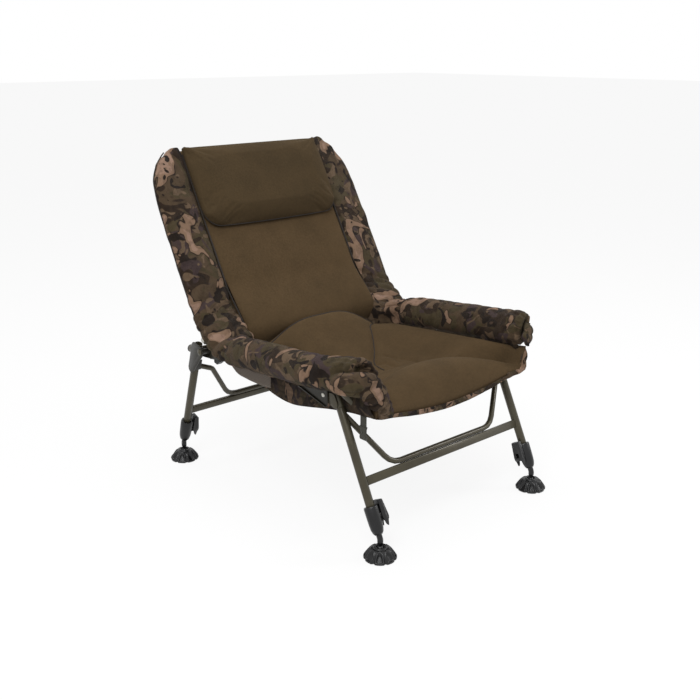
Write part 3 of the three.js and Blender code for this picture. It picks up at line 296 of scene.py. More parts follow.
# %% Fleece
def make_fleece(name, dark, light):
    f = Finish(name)
    patches = f.noise(11, 4, 0.6)
    nap = f.noise(620, 3, 0.65)
    clumps = f.noise(170, 2, 0.6)
    tone = f.mixed((patches * 0.75 + clumps * 0.5 - 0.12).above(0.5, 0.42), dark, light)
    tone = f.mixed(nap.above(0.45, 0.3) * 0.35, tone, light)
    return f.surface({
        "Base Color": tone,
        "Roughness": 0.93,
        "Specular IOR Level": 0.1,
        "Sheen Weight": 0.1,
        "Sheen Roughness": 0.45,
        "Sheen Tint": srgb(150, 132, 104),
        "Normal": f.bump(nap * 0.7 + clumps, 0.35, 0.0012),
    })


fleece = make_fleece("fleece", srgb(55, 44, 29), srgb(79, 63, 43))
# a darker copy of the fleece for the pillow, which faces the lamps more: painted shade
pillow_fleece_shaded = make_fleece("fleece_painted_shade", srgb(47, 38, 25), srgb(67, 54, 36))
print("fleece", fleece.name)


# %% [markdown]
# The borders and the arm rolls are a peached polyester printed in a traditional
# woodland camouflage. Such a print is flat patches in a few earth colours laid
# over each other, so each layer is a bent noise cut at a sharp edge.

# %% Woodland cloth
def make_woodland(name, lift=1.0):
    f = Finish(name)

    # lift scales every colour of the print; below 1 it makes a darker copy of the cloth, used as painted shade
    def tint(r, g, b):
        return tuple(c * lift for c in srgb(r, g, b)[:3]) + (1.0,)

    def patches(seed, scale, edge, warp=0.9, stretch=(1, 1, 1)):
        where = f.placed(stretch, (seed * 1.7, seed * 0.9, -seed * 1.3), (0.4, 0.3, seed))
        return f.noise(scale, 1.6, 0.45, where, warp).above(edge, 0.012)

    tone = tint(76, 61, 45)
    tone = f.mixed(patches(1.0, 13, 0.53, stretch=(1, 1, 0.7)), tone, tint(68, 58, 39))
    tone = f.mixed(patches(2.3, 12, 0.56, stretch=(0.8, 1, 1)), tone, tint(42, 30, 20))
    tone = f.mixed(patches(3.1, 14, 0.60), tone, tint(62, 49, 48))
    tone = f.mixed(patches(4.2, 19, 0.60, warp=1.3), tone, tint(99, 81, 63))
    # one noise cut three times makes the pale patches, their dark outline and their light middle
    pale = f.noise(11, 2.0, 0.46, f.placed((0.9, 1, 0.75), (3.1, 4.7, 1.2), (0.2, 0.5, 1.0)), 1.3)
    tone = f.mixed(pale.above(0.552, 0.006), tone, tint(27, 18, 12))
    tone = f.mixed(pale.above(0.572, 0.008), tone, tint(132, 106, 86))
    tone = f.mixed(pale.above(0.636, 0.012), tone, tint(150, 122, 104))
    tone = f.mixed(patches(6.4, 17, 0.61, warp=1.4), tone, tint(27, 18, 12))
    threads, crossing = (f.waves("DIAGONAL", {
        "Vector": f.placed((flip, 1, 1)), "Scale": 420, "Distortion": 0.4, "Detail": 1.0}) for flip in (1, -1))
    creases = f.noise(46, 5, 0.6, warp=0.6)
    fade = f.noise(9, 3, 0.6)
    # lighter where the random fade noise and the raised crease ridges add up: partly random fading, partly painted
    # highlight on the ridges
    tone = f.mixed((fade * 0.5 + creases * 0.5).above(0.62, 0.2) * 0.22, tone, tint(104, 90, 74))
    # darker in the crease valleys: painted shade
    tone = f.mixed((1 - creases).above(0.56, 0.1) * 0.35, tone, tint(24, 17, 12))
    return f.surface({
        "Base Color": tone,
        "Roughness": 0.85,
        "Specular IOR Level": 0.12,
        "Sheen Weight": 0.03,
        "Sheen Roughness": 0.5,
        "Normal": f.bump(threads * 0.2 + crossing * 0.2 + creases, 0.7, 0.004),
    })


woodland = make_woodland("woodland_cloth")
# the same print at 0.6 of its brightness: painted shade for the seat's underside and side panels
woodland_shaded = make_woodland("woodland_painted_shade", lift=0.6)
print("woodland", woodland.name, woodland_shaded.name)


# %% [markdown]
# The tubes are powder coated in a dark olive. The coat is satin with a very fine
# orange peel. The front pivot bolts and the back's hinge bolts are bright zinc,
# and the adjusters are moulded black plastic with a fine grain.

# %% Coated steel, zinc and moulded plastic
def make_coated_steel(name, dark, light, dusty):
    f = Finish(name)
    peel = f.noise(900, 2, 0.5)
    cloud = f.noise(14, 3, 0.55)
    dust = f.noise(60, 5, 0.7)
    tone = f.mixed(cloud.above(0.5, 0.3), dark, light)
    tone = f.mixed(dust.above(0.66, 0.1) * 0.3, tone, dusty)
    return f.surface({
        "Base Color": tone,
        "Metallic": 0.35,
        "Roughness": 0.33 + 0.14 * dust,
        "Specular IOR Level": 0.3,
        "Coat Weight": 0.22,
        "Coat Roughness": 0.12,
        "Normal": f.bump(peel, 0.12, 0.0004),
    })


def make_zinc():
    f = Finish("zinc")
    spangle = f.node("ShaderNodeTexVoronoi", None, {"Vector": f.place, "Scale": 900}).out("Distance")
    wear = f.noise(240, 4, 0.7)
    tone = f.mixed(wear.above(0.55, 0.2), srgb(196, 194, 186), srgb(150, 147, 138))
    return f.surface({
        "Base Color": tone,
        "Metallic": 0.95,
        "Roughness": 0.24 + 0.2 * wear,
        "Normal": f.bump(spangle, 0.1, 0.0003),
    })


def make_plastic(name, dark, light, rough):
    f = Finish(name)
    grain = f.node("ShaderNodeTexVoronoi", None, {"Vector": f.place, "Scale": 1500}).out("Distance")
    smudge = f.noise(38, 4, 0.6)
    tone = f.mixed(smudge.above(0.5, 0.3), dark, light)
    return f.surface({
        "Base Color": tone,
        "Roughness": rough + 0.16 * smudge,
        "Specular IOR Level": 0.38,
        "Normal": f.bump(grain, 0.22, 0.0004),
    })


olive_steel = make_coated_steel("olive_steel", srgb(58, 53, 40), srgb(70, 65, 50), srgb(92, 86, 70))
bracket_steel = make_coated_steel("bracket_steel", srgb(33, 31, 25), srgb(45, 42, 34), srgb(70, 66, 56))
zinc = make_zinc()
black_plastic = make_plastic("black_plastic", srgb(11, 11, 12), srgb(21, 21, 22), 0.24)
print("hard finishes", olive_steel.name, zinc.name, black_plastic.name)


# %% [markdown]
# The hanging band at each side is a coarse woven strip, and the strap is ribbed
# webbing. Both are plain weaves: two sets of ribs crossing, one over the other.
# The piping is a plain cloth too, nearly black.

# %% Band, webbing and piping
def make_weave(name, dark, light, pitch, sheen=0.1):
    """Two sets of ribs at a pitch in metres, crossing each other."""
    f = Finish(name)
    ribs, threads = (f.waves(direction, {
        "Vector": f.place, "Scale": 0.16 / pitch, "Distortion": 0.3}) for direction in "YZ")
    fuzz = f.noise(500, 3, 0.6)
    tone = f.mixed((ribs * threads * 0.8 + fuzz * 0.4).above(0.4, 0.35), dark, light)
    return f.surface({
        "Base Color": tone,
        "Roughness": 0.85,
        "Sheen Weight": sheen,
        "Normal": f.bump(ribs * 0.6 + threads * 0.6 + fuzz * 0.3, 0.5, 0.0012),
    })


band_weave = make_weave("sling_band", srgb(74, 64, 55), srgb(103, 92, 81), 0.0022)
webbing = make_weave("webbing", srgb(40, 40, 34), srgb(66, 64, 54), 0.0016)
piping_cloth = make_weave("piping_cloth", srgb(22, 15, 10), srgb(36, 27, 19), 0.0012, 0.0)
print("woven", band_weave.name, webbing.name, piping_cloth.name)


# %% [markdown]
# Most new pieces go through one helper. It makes the mesh, gives it its finish,
# turns its faces outwards, hides the solids it stands for, and hangs it on the
# body it rides on.

# %% From points and faces to a piece of the chair
def linked(name, data):
    """A new object in the scene."""
    obj = bpy.data.objects.new(name, data)
    scene.collection.objects.link(obj)
    return obj


def piece(name, points, faces, material, body=None, stands_for=()):
    mesh = bpy.data.meshes.new(name)
    mesh.from_pydata([tuple(map(float, p)) for p in points], [], [tuple(map(int, f)) for f in faces])
    mesh.materials.append(material)
    obj = linked(name, mesh)
    tidy_mesh(obj)
    mesh.shade_smooth()
    if stands_for:
        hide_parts(*stands_for)
    if body:
        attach(obj, body)
    return obj


def tidy_mesh(obj):
    """Merges doubles and turns all faces outwards."""
    bm = bmesh.new()
    bm.from_mesh(obj.data)
    bmesh.ops.remove_doubles(bm, verts=bm.verts, dist=0.01 * MM)
    bmesh.ops.recalc_face_normals(bm, faces=bm.faces)
    if bm.calc_volume(signed=True) < 0:
        bmesh.ops.reverse_faces(bm, faces=bm.faces)
    bm.to_mesh(obj.data)
    bm.free()


def coords(obj):
    """The piece's points, one row each."""
    co = np.zeros(len(obj.data.vertices) * 3)
    obj.data.vertices.foreach_get("co", co)
    return co.reshape(-1, 3)


def set_coords(obj, co):
    obj.data.vertices.foreach_set("co", np.asarray(co, float).ravel())
    obj.data.update()


def normals(obj):
    n = np.zeros(len(obj.data.vertices) * 3)
    obj.data.vertices.foreach_get("normal", n)
    return n.reshape(-1, 3)


def push(obj, height):
    """Moves each point along its own normal."""
    set_coords(obj, coords(obj) + normals(obj) * np.asarray(height)[:, None])


def loft(rings):
    """A closed skin over rings of equal count, with a fan at each end."""
    rings = np.asarray(rings, float)
    count, n = rings.shape[:2]
    points = rings.reshape(-1, 3)
    faces = []
    for k in range(count - 1):
        for i in range(n):
            j = (i + 1) % n
            faces.append((k * n + i, k * n + j, (k + 1) * n + j, (k + 1) * n + i))
    ends = np.array([rings[0].mean(0), rings[-1].mean(0)])
    a, b = len(points), len(points) + 1
    for i in range(n):
        j = (i + 1) % n
        faces.append((a, j, i))
        faces.append((b, (count - 1) * n + i, (count - 1) * n + j))
    return np.vstack([points, ends]), faces


def pad(top, under, wall=2):
    """A closed pad from a top and an under grid of points, joined by a side wall."""
    top, under = np.asarray(top, float), np.asarray(under, float)
    rows, cols = top.shape[:2]
    points = [top.reshape(-1, 3), under.reshape(-1, 3)]
    faces = []
    n = rows * cols
    for r in range(rows - 1):
        for c in range(cols - 1):
            a, e = r * cols + c, (r + 1) * cols + c
            b, d = a + 1, e + 1
            faces.append((a, b, d, e))
            faces.append((n + e, n + d, n + b, n + a))
    rim = (list(range(cols)) + [r * cols + cols - 1 for r in range(1, rows)]
           + [(rows - 1) * cols + c for c in range(cols - 2, -1, -1)]
           + [r * cols for r in range(rows - 2, 0, -1)])
    flat_top, flat_under = points
    previous = list(rim)
    base = 2 * n
    m = len(rim)
    for w in range(1, wall + 1):
        if w == wall:
            current = [n + i for i in rim]
        else:
            t = w / wall
            points.append(mix(flat_top[rim], flat_under[rim], t))
            current = [base + i for i in range(m)]
            base += m
        for i in range(m):
            j = (i + 1) % m
            faces.append((previous[i], current[i], current[j], previous[j]))
        previous = current
    return np.vstack(points), faces


# %% [markdown]
# Stuffed cloth takes its shape from what pushes it out and what holds it in. The
# headrest pillow gets a short cloth simulation: its skin is remeshed evenly,
# blown up a little with gravity off, held where it is sewn, and kept from moving
# further than a few millimetres. The other pads are shaped by tables instead.

# %% A short cloth simulation
def stuffed(obj, voxel, pressure, cap, held, frames=16):
    """Blows the piece up softly and returns how far it moved at most, in metres."""
    even = obj.modifiers.new("even", "REMESH")
    even.mode, even.voxel_size = "VOXEL", voxel
    take_shape(obj)
    before = coords(obj)
    sewn = obj.vertex_groups.new(name="sewn")
    weights = held(before)
    for i in np.nonzero(weights > 0.02)[0]:
        sewn.add([int(i)], float(min(weights[i], 1)), "REPLACE")
    cloth = obj.modifiers.new("stuffing", "CLOTH")
    rules = cloth.settings
    rules.quality, rules.mass = 5, 0.3
    rules.tension_stiffness = rules.compression_stiffness = 12
    rules.shear_stiffness, rules.bending_stiffness = 6, 0.6
    rules.use_pressure, rules.uniform_pressure_force = True, pressure
    rules.effector_weights.gravity = 0
    rules.vertex_group_mass = "sewn"
    cloth.collision_settings.use_collision = False
    cloth.point_cache.frame_start, cloth.point_cache.frame_end = 1, frames
    for moment in range(1, frames + 1):
        scene.frame_set(moment)
    graph = bpy.context.evaluated_depsgraph_get()
    after = coords(obj.evaluated_get(graph))
    obj.modifiers.remove(cloth)
    scene.frame_set(1)
    move = after - before
    length = np.linalg.norm(move, axis=1)
    move *= np.minimum(1, cap / np.maximum(length, 1e-9))[:, None]
    set_coords(obj, before + move)
    smooth = obj.modifiers.new("finer", "SUBSURF")
    smooth.levels = smooth.render_levels = 1
    take_shape(obj)
    obj.vertex_groups.clear()
    return float(min(length.max(), cap))


def take_shape(obj):
    """Makes what the modifiers show the piece's own mesh, and removes them."""
    graph = bpy.context.evaluated_depsgraph_get()
    material = obj.data.materials[0]
    mesh = bpy.data.meshes.new_from_object(obj.evaluated_get(graph), depsgraph=graph)
    mesh.materials.clear()
    mesh.materials.append(material)
    mesh.shade_smooth()
    obj.modifiers.clear()
    old, obj.data = obj.data, mesh
    bpy.data.meshes.remove(old)
    bpy.context.view_layer.update()


# %% [markdown]
# The welded frames, plates and plastic parts already have their true shape in
# the frame. Real edges are never razor sharp, so each solid is copied, its loose
# triangles are merged, and a small bevel catches the light along its edges.

# %% Tubes, plates, bolts and adjusters
HARD = {
    "olive_steel": (olive_steel, 0.0007),
    "zinc": (zinc, 0.0005),
    "black_plastic": (black_plastic, 0.0008),
}
ZINC_PARTS = ("front_pivot_bolt", "back_hinge_bolt")
PLASTIC_PARTS = ("cap", "stop_pad", "block", "lever", "stalk")
SOFT_PARTS = ("back_cushion", "headrest_pillow", "back_border", "seat_", "arm_roll", "sling_band", "strap_buckle")


def slot_of(node):
    if node.startswith(ZINC_PARTS):
        return "zinc"
    if any(word in node for word in PLASTIC_PARTS):
        return "black_plastic"
    return "olive_steel"


def finished_copy(node, material, bevel, name=None):
    obj = linked(name or node + "_finished", frame["nodes"][node].data.copy())
    obj.data.materials.clear()
    obj.data.materials.append(material)
    bm = bmesh.new()
    bm.from_mesh(obj.data)
    bmesh.ops.remove_doubles(bm, verts=bm.verts, dist=2e-6)
    bmesh.ops.dissolve_limit(bm, angle_limit=math.radians(0.6), verts=bm.verts, edges=bm.edges)
    bm.to_mesh(obj.data)
    bm.free()
    obj.data.shade_smooth()
    rim = obj.modifiers.new("edge", "BEVEL")
    rim.width, rim.segments, rim.limit_method, rim.angle_limit = bevel, 2, "ANGLE", math.radians(42)
    rim.harden_normals, rim.miter_outer = True, "MITER_ARC"
    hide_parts(node)
    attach(obj, body_of_node[node])
    return obj


LEVER_LONGER = 12 * MM
HUB_BELOW_PIVOT = 8 * MM
LEG_LEAN = {"front": math.radians(26.2), "rear": -math.radians(18.6)}
joint_place = {joint["name"]: joint.get("pos_m") for joint in frame["joints"]}


def lengthen_lever(part, node):
    """Draws the lever's lower end longer than its solid; its hub stays where it is."""
    lean = LEG_LEAN["front" if node.startswith("front") else "rear"]
    up = np.array([0, math.sin(lean), math.cos(lean)])
    co = coords(part)
    along = co @ up
    hub = np.array(joint_place[node + "_swing"]) @ up - HUB_BELOW_PIVOT
    share = np.clip((hub - along) / (hub - along.min()), 0, 1)
    set_coords(part, co - np.outer(LEVER_LONGER * share, up))


hard_parts = []
for node in sorted(frame["nodes"]):
    if node.startswith(SOFT_PARTS) or node.endswith("_foot"):
        continue
    slot = slot_of(node)
    material, bevel = HARD[slot]
    if "bracket" in node or "hinge_plate" in node:
        material = bracket_steel
    part = finished_copy(node, material, bevel)
    if node.endswith("_lever"):
        lengthen_lever(part, node)
    hard_parts.append(part)
print("hard parts", len(hard_parts))


# %% [markdown]
# A mud foot spreads the load on a soft bank. It is a moulded dome whose rim has
# eight scallops, with a rib running down to each one and a round collar that
# snaps over the ball. The shape follows one rule round the axis, so it is
# written as rings whose radius swings with the angle.

# %% Mud feet
FOOT_LOBES = 8
foot_low, foot_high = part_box("front_left_foot")
FOOT_RADIUS = (foot_high.x - foot_low.x) / 2
FOOT_HEIGHT = foot_high.z - foot_low.z


def foot_mesh(centre, base):
    a = around(176)
    # place across one scallop, -0.5 to 0.5, with 0 at its middle
    across = (a * FOOT_LOBES / (2 * math.pi) + 0.5) % 1.0 - 0.5
    notch = np.exp(-(((np.abs(across) - 0.5) / 0.1) ** 2))
    # radius share, height share: the underside, the rim, the dome, the socket
    table = [(0.0, 0.30), (0.40, 0.30), (0.62, 0.20), (0.84, 0.02), (0.93, 0.00), (0.98, 0.02),
             (1.00, 0.08), (1.00, 0.15), (0.975, 0.21)]
    for t in np.linspace(0, 1, 22):
        table.append((mix(0.95, 0.42, t ** 0.92), 0.25 + 0.64 * math.sin(t * math.pi / 2) ** 0.95))
    table += [(0.40, 0.93), (0.39, 0.98), (0.36, 1.0), (0.30, 1.0), (0.265, 0.97), (0.25, 0.88),
              (0.22, 0.74), (0.0, 0.66)]
    rings = []
    for share, height in table:
        rim = step(share, 0.55, 0.95)
        radius = FOOT_RADIUS * share * (1 - 0.10 * notch * rim)
        # an arched pocket in each scallop, with a raised lip round it
        arch = np.sqrt((across / 0.33) ** 2 + ((share - 0.90) / 0.36) ** 2)
        dome = (0.2 < height < 0.9) * step(height, 0.2, 0.3)
        pocket = 0.0052 * (1 - step(arch, 0.62, 0.92)) * (share > 0.5)
        lip = 0.0016 * np.exp(-(((arch - 1.06) / 0.13) ** 2)) * (share > 0.5)
        z = base + FOOT_HEIGHT * height + dome * (lip - pocket)
        radius = radius - dome * pocket * 0.35
        rings.append(np.stack([centre.x + radius * np.cos(a), centre.y + radius * np.sin(a), z + 0 * a], -1))
    return loft(rings)


for end in ("front", "rear"):
    for side in ("left", "right"):
        node = f"{end}_{side}_foot"
        low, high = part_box(node)
        points, faces = foot_mesh((low + high) / 2, low.z)
        piece(f"{end}_{side}_mud_foot", points, faces, black_plastic, node, [node])
print("mud foot", round(FOOT_RADIUS * 2000), "mm across")


# %% [markdown]
# The back cushion is one long panel of fleece over foam. Its round lower end is
# the lumbar pad, which turns about the hinge line so that it never leaves the
# seat. Rings of its outline, taken across the chair, are joined into one skin.

# %% Back cushion
BACK_TOP = 550 * MM
CUSHION_HALF = 236 * MM
LUMBAR = 52 * MM
CUSHION_FRONT, CUSHION_REAR = 15 * MM, 16 * MM


def lumbar_belly(w):
    """How far the cushion's front stands out towards its foot, at a share of its height."""
    return (1 - step(w, 0, 0.26)) * (LUMBAR - CUSHION_FRONT)


def cushion_ring(x):
    """Outline of the cushion at one place across, as (forward, up)."""
    inset = CUSHION_HALF - abs(x)
    fall = float(rounded(inset, 16 * MM))
    out = []
    for a in np.linspace(math.radians(-160), 0, 26, endpoint=False):
        share = float(step(a, math.radians(-160), math.radians(-95)))
        r = LUMBAR * mix(0.86, 1, fall) * mix(0.42, 1, share)
        out.append((r * math.cos(a), r * math.sin(a)))
    for w in np.linspace(0, 1, 60):
        up = w * BACK_TOP
        belly = float(lumbar_belly(w))
        crown = 12 * MM * math.sin(math.pi * min(w / 0.56, 1)) ** 1.6
        end = float(rounded((1 - w) * BACK_TOP, CUSHION_FRONT))
        puffed = crown * float(rounded(inset, 90 * MM))
        out.append(((CUSHION_FRONT + belly + puffed) * mix(0.72, 1, fall) * mix(0.3, 1, end), up))
    for w in np.linspace(1, 0.0, 34, endpoint=False):
        end = float(rounded((1 - w) * BACK_TOP, CUSHION_REAR))
        out.append((-CUSHION_REAR * mix(0.45, 1, fall) * mix(0.3, 1, end), w * BACK_TOP))
    return out


cushion_rings = []
for t in np.linspace(0, 1, 49):
    x = -CUSHION_HALF * math.cos(math.pi * t) * mix(1, 0.92, math.sin(math.pi * t) ** 2)
    outline = np.array(cushion_ring(x))
    cushion_rings.append(back_points(x, outline[:, 0], outline[:, 1]))
points, faces = loft(cushion_rings)
back_cushion = piece("back_cushion_soft", points, faces, fleece, "back_frame", ["back_cushion"])
print("back cushion", len(back_cushion.data.vertices), "points")


# %% [markdown]
# The headrest pillow is sewn on over the top third of the cushion. Its lower
# corners are rounded and its foot bulges over the seam below it.

# %% Headrest pillow
PILLOW_HALF = 239 * MM
PILLOW_FOOT = BACK_TOP - 246 * MM
PILLOW_THICK = 34 * MM
PILLOW_CORNER = 50 * MM


def pillow_foot(x):
    """Height of the pillow's lower edge: rounded up at its corners, bowed down between."""
    into_corner = np.clip(PILLOW_CORNER - (PILLOW_HALF - np.abs(x)), 0, None)
    lift = PILLOW_CORNER - np.sqrt(np.maximum(PILLOW_CORNER**2 - into_corner**2, 0))
    bow = 5 * MM * (1 - (x / PILLOW_HALF) ** 2)
    return PILLOW_FOOT + lift - bow + 4 * MM


def pillow_grid(front, cols=61, rows=41):
    u, v = np.meshgrid(np.linspace(0, 1, cols), np.linspace(0, 1, rows))
    u = 0.5 - 0.5 * np.cos(np.pi * u) * (1 - 0.08 * np.sin(np.pi * u) ** 2)
    v = 0.5 - 0.5 * np.cos(np.pi * v)
    x = (2 * u - 1) * PILLOW_HALF
    foot = pillow_foot(x)
    up = mix(foot, BACK_TOP + 2 * MM, v)
    inset = np.minimum(np.minimum(PILLOW_HALF - np.abs(x) + 2 * MM, up - foot), BACK_TOP + 4 * MM - up)
    fall = rounded(inset + 0.3 * MM, 34 * MM)
    crown = mix(1, 1.12, np.sin(np.pi * v)) / 1.12
    forward = CUSHION_FRONT + 1 * MM + (PILLOW_THICK * mix(0.22, 1, fall) * crown if front else 0)
    return back_points(x, forward, up)


points, faces = pad(pillow_grid(True), pillow_grid(False), 3)
# the pillow takes the darker fleece: painted shade
pillow = piece("headrest_pillow_soft", points, faces, pillow_fleece_shaded, "back_frame", ["headrest_pillow"])


def pillow_held(co):
    """1 on the pillow's back and round its sewn edges."""
    return 1 - step(on_back(co)[0], CUSHION_FRONT + 4 * MM, CUSHION_FRONT + 9 * MM)


puffed_by = stuffed(pillow, voxel=0.005, pressure=3.0, cap=0.009, held=pillow_held)
print("pillow stuffed by", round(puffed_by * 1000, 1), "mm")
print("pillow", len(pillow.data.vertices), "points")


# %% [markdown]
# The borders are sleeves of printed cloth that the back tube runs in. They are
# padded, rounded at the top, and the spare cloth gathers in folds low down,
# where the back meets the arm roll.

# %% Back borders
BORDER_INNER = CUSHION_HALF + 3.5 * MM
BORDER_OUTER = 372 * MM
BORDER_FOOT = 32 * MM
BORDER_OUT = [
    [0, 0.955], [0.2, 0.965], [0.5, 0.96], [0.79, 0.942], [0.86, 0.922], [0.905, 0.889], [0.95, 0.841], [0.98, 0.797],
    [1, 0.763], [1.012, 0.72],
]


def border_mesh(side):
    rings = []
    a = around(64)
    top = BACK_TOP + 4.8 * MM
    for w in np.linspace(0, 1, 90):
        up = mix(BORDER_FOOT, top, 1 - (1 - w) ** 1.35)
        outer = max(BORDER_OUTER * float(through(BORDER_OUT, up / BACK_TOP)), BORDER_INNER + 22 * MM)
        end = float(rounded(min(up - BORDER_FOOT, top + 1.2 * MM - up) + 5 * MM, 17 * MM))
        cx, rx = (BORDER_INNER + outer) / 2, (outer - BORDER_INNER) / 2
        cos_a = squared(np.cos(a), 0.7)
        sin_a = squared(np.sin(a), np.where(np.cos(a) < 0, 0.4, 0.85))
        depth = np.where(sin_a > 0, 22 * MM, 17 * MM) * mix(0.4, 1, end)
        x = cx + rx * cos_a * mix(0.9, 1, end)
        hang = 34 * MM * (1 - step(x, BORDER_INNER * 1.2, BORDER_INNER * 1.34)) * (1 - w) ** 3
        rings.append(back_points(side * x, depth * sin_a, up - hang))
    return loft(rings)


for name, side in SIDES:
    points, faces = border_mesh(side)
    border = piece(f"back_border_{name}_soft", points, faces, woodland, "back_frame",
                   [f"back_border_{name}"])
    co = coords(border)
    # the folds are set by the place along and across the back
    up = on_back(co)[1]
    across = np.abs(co[:, 0])
    low = 1 - step(up, 0.05, 0.19)
    high = step(up, 0.44, 0.54)
    slant = up + (across - BORDER_INNER) * 0.55
    folds = creased(slant / 0.0075 + 2.2 * ripple(co, (9, 9, 9), side + 3)) * low
    soft = ripple(co, (22, 22, 16), side + 5)
    fine = ripple(co, (70, 40, 40), side + 8)
    rays = np.sin((up * 0.4 - across) / 0.0095 + 1.8 * ripple(co, (10, 10, 10), side + 6)) * high
    push(border, 0.0050 * folds + 0.0024 * rays + 0.0034 * soft + 0.0015 * fine * (0.6 + low + high))
print("borders", len(border.data.vertices), "points each")


# %% [markdown]
# The seat is a sling: a wide fleece pad that hangs from the rails, deepest in
# the middle, with a firm bolster under the knees. Its height is two tables, one
# down the middle and one along the side, blended across the seat.

# %% Seat pad
SEAT_HALF = seat_high.x
SEAT_LOWEST = seat_low.z
SEAT_SPAN = 140 * MM
TOP_MIDDLE = [
    [0, 0.34], [0.03, 0.54], [0.07, 0.69], [0.12, 0.765], [0.18, 0.765], [0.25, 0.67], [0.34, 0.51],
    [0.42, 0.36], [0.5, 0.26], [0.62, 0.27], [0.74, 0.42], [0.86, 0.7], [0.93, 0.93], [0.975, 1.03], [1, 0.98],
]
# the bolster's rear seam: its share along the middle, how far it curves forward, its height
SEAM_MIDDLE, SEAM_CURVE, SEAM_HEIGHT = 0.34, 0.28, 0.51
SIDE_SEAM_DROP = 9 * MM
CORNER_OUT = 13 * MM
UNDER_MIDDLE = [
    [0, 0.155], [0.06, 0.145], [0.14, 0.13], [0.26, 0.07], [0.42, 0.02], [0.6, 0], [0.72, 0.04],
    [0.82, 0.13], [0.9, 0.27], [1, 0.5],
]
UNDER_SIDE = [
    [0, 0.44], [0.05, 0.43], [0.14, 0.38], [0.2, 0.34], [0.28, 0.28], [0.36, 0.21], [0.45, 0.13],
    [0.56, 0.05], [0.72, 0.08], [0.82, 0.18], [0.9, 0.3], [1, 0.46],
]


def seat_y(v):
    """Place along the chair at a share of the seat, from its front edge."""
    return mix(seat_low.y, seat_high.y, v)


def seat_share(y):
    """The share of the seat at a place along the chair."""
    return (y - seat_low.y) / (seat_high.y - seat_low.y)


def plan_y(x, y):
    """The seat's front corners stand a little ahead of its front edge."""
    out = step(np.abs(x) / SEAT_HALF, 0.7, 1.0)
    ahead = 1 - step(seat_share(y), 0.0, 0.25)
    return y - CORNER_OUT * out * ahead


def seat_top(x, v):
    out = np.abs(x) / SEAT_HALF
    # the rear edge is one soft arc, the front falls to points at its corners
    meets = np.sqrt(np.maximum(SEAM_MIDDLE - v, 0) / SEAM_CURVE)
    bowl = mix(step(out, np.clip(meets, 0.42, 0.93), 1.0) ** 1.15, step(out, 0.1, 1.0) ** 1.25,
               step(v, 0.8, 0.97))
    # ahead of its rear seam the bolster swells in the middle and thins to its ends
    swell = np.maximum(1 - (out / np.maximum(meets, 0.001)) ** 2, 0)
    bolster = SEAM_HEIGHT + (through(TOP_MIDDLE, v) - SEAM_HEIGHT) * swell
    # behind the seam the basin falls away at once, all along the seam's curve
    curve = SEAM_CURVE * out**2
    basin = through(TOP_MIDDLE, v + curve * (1 - step(v, SEAM_MIDDLE, 0.6)))
    share = np.where(v < SEAM_MIDDLE - curve, bolster, basin)
    side_z = rail_z(seat_y(v)) - SIDE_SEAM_DROP
    return mix(SEAT_LOWEST + SEAT_SPAN * share, side_z, bowl)


def seat_under(x, v):
    lift = (np.abs(x) / SEAT_HALF) ** 1.8
    return SEAT_LOWEST + SEAT_SPAN * mix(through(UNDER_MIDDLE, v), through(UNDER_SIDE, v), lift)


def seat_side_seam(side):
    """Seam between the middle panel and a side panel, from the rear corner to the basin."""
    flat = [(0.236, 1.0), (0.18, 0.935), (0.152, 0.887), (0.131, 0.822), (0.097, 0.737), (0.056, 0.659),
            (0.042, 0.6), (0.036, 0.54)]
    return np.array([(side * x, seat_y(v), 0) for x, v in flat])


def seat_creases(side):
    """Soft folds where the side panel's spare cloth runs into the bolster."""
    lines = [[(0.10, 0.665), (0.112, 0.605), (0.094, 0.51)],
             [(0.048, 0.633), (0.073, 0.59), (0.067, 0.47)],
             [(0.125, 0.57), (0.135, 0.50), (0.12, 0.42)]]
    return [np.array([(side * x, seat_y(v), 0) for x, v in line]) for line in lines]


bolster_seam = np.array([
    (x, seat_y(float(SEAM_MIDDLE - SEAM_CURVE * (x / SEAT_HALF) ** 2)), 0)
    for x in np.linspace(-SEAT_HALF, SEAT_HALF, 41)
])
cols, rows = 121, 121
u, v = np.meshgrid(np.linspace(0, 1, cols), np.linspace(0, 1, rows))
x = (2 * u - 1) * SEAT_HALF
flat = np.stack([x.ravel(), seat_y(v).ravel(), np.zeros(x.size)], -1)


def seam_field(line, width, depth, fade=None):
    """A groove along a line on the flat seat, and the distance from it."""
    distance, along = to_line(flat, line)
    strength = 1 if fade is None else 1 - step(along, *fade)
    return (-depth * strength * np.exp(-((distance / width) ** 2))).reshape(x.shape), distance.reshape(x.shape)


relief = np.zeros(x.shape)
near = np.full(x.shape, 1.0)
groove, distance = seam_field(bolster_seam, 0.008, 0.008)
relief, near = relief + groove, np.minimum(near, distance)
for side in (1, -1):
    groove, distance = seam_field(seat_side_seam(side), 0.006, 0.007, (0.75, 1.0))
    relief, near = relief + groove, np.minimum(near, distance)
    for line in seat_creases(side):
        relief += seam_field(line, 0.007, 0.0055, (0.55, 1.0))[0]
edge = np.minimum(SEAT_HALF - np.abs(x), np.minimum(seat_y(v) - seat_low.y, seat_high.y - seat_y(v)))
# the filling stands up between the seams
FILLING, FILLING_FALL = 0.011, 0.035
relief += FILLING * (1 - np.exp(-((near / FILLING_FALL) ** 2))) * rounded(edge, 0.05)
out = np.abs(x) / SEAT_HALF
z = seat_top(x, v)
z = z + 0.008 * (1 - rounded(v, 0.03)) * step(out, 0.8, 1.0)
z = z + relief - 0.004 * rounded(edge, 0.03)
y = plan_y(x, seat_y(v))
top = np.stack([x, y, z], -1)
under = np.stack([x, y, np.minimum(seat_under(x, v), z - 0.012)], -1)
points, faces = pad(top, under, 4)
seat = piece("seat_pad_soft", points, faces, fleece, "seat_frame", ["seat_pad"])
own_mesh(seat)
SEAT_GRID = z


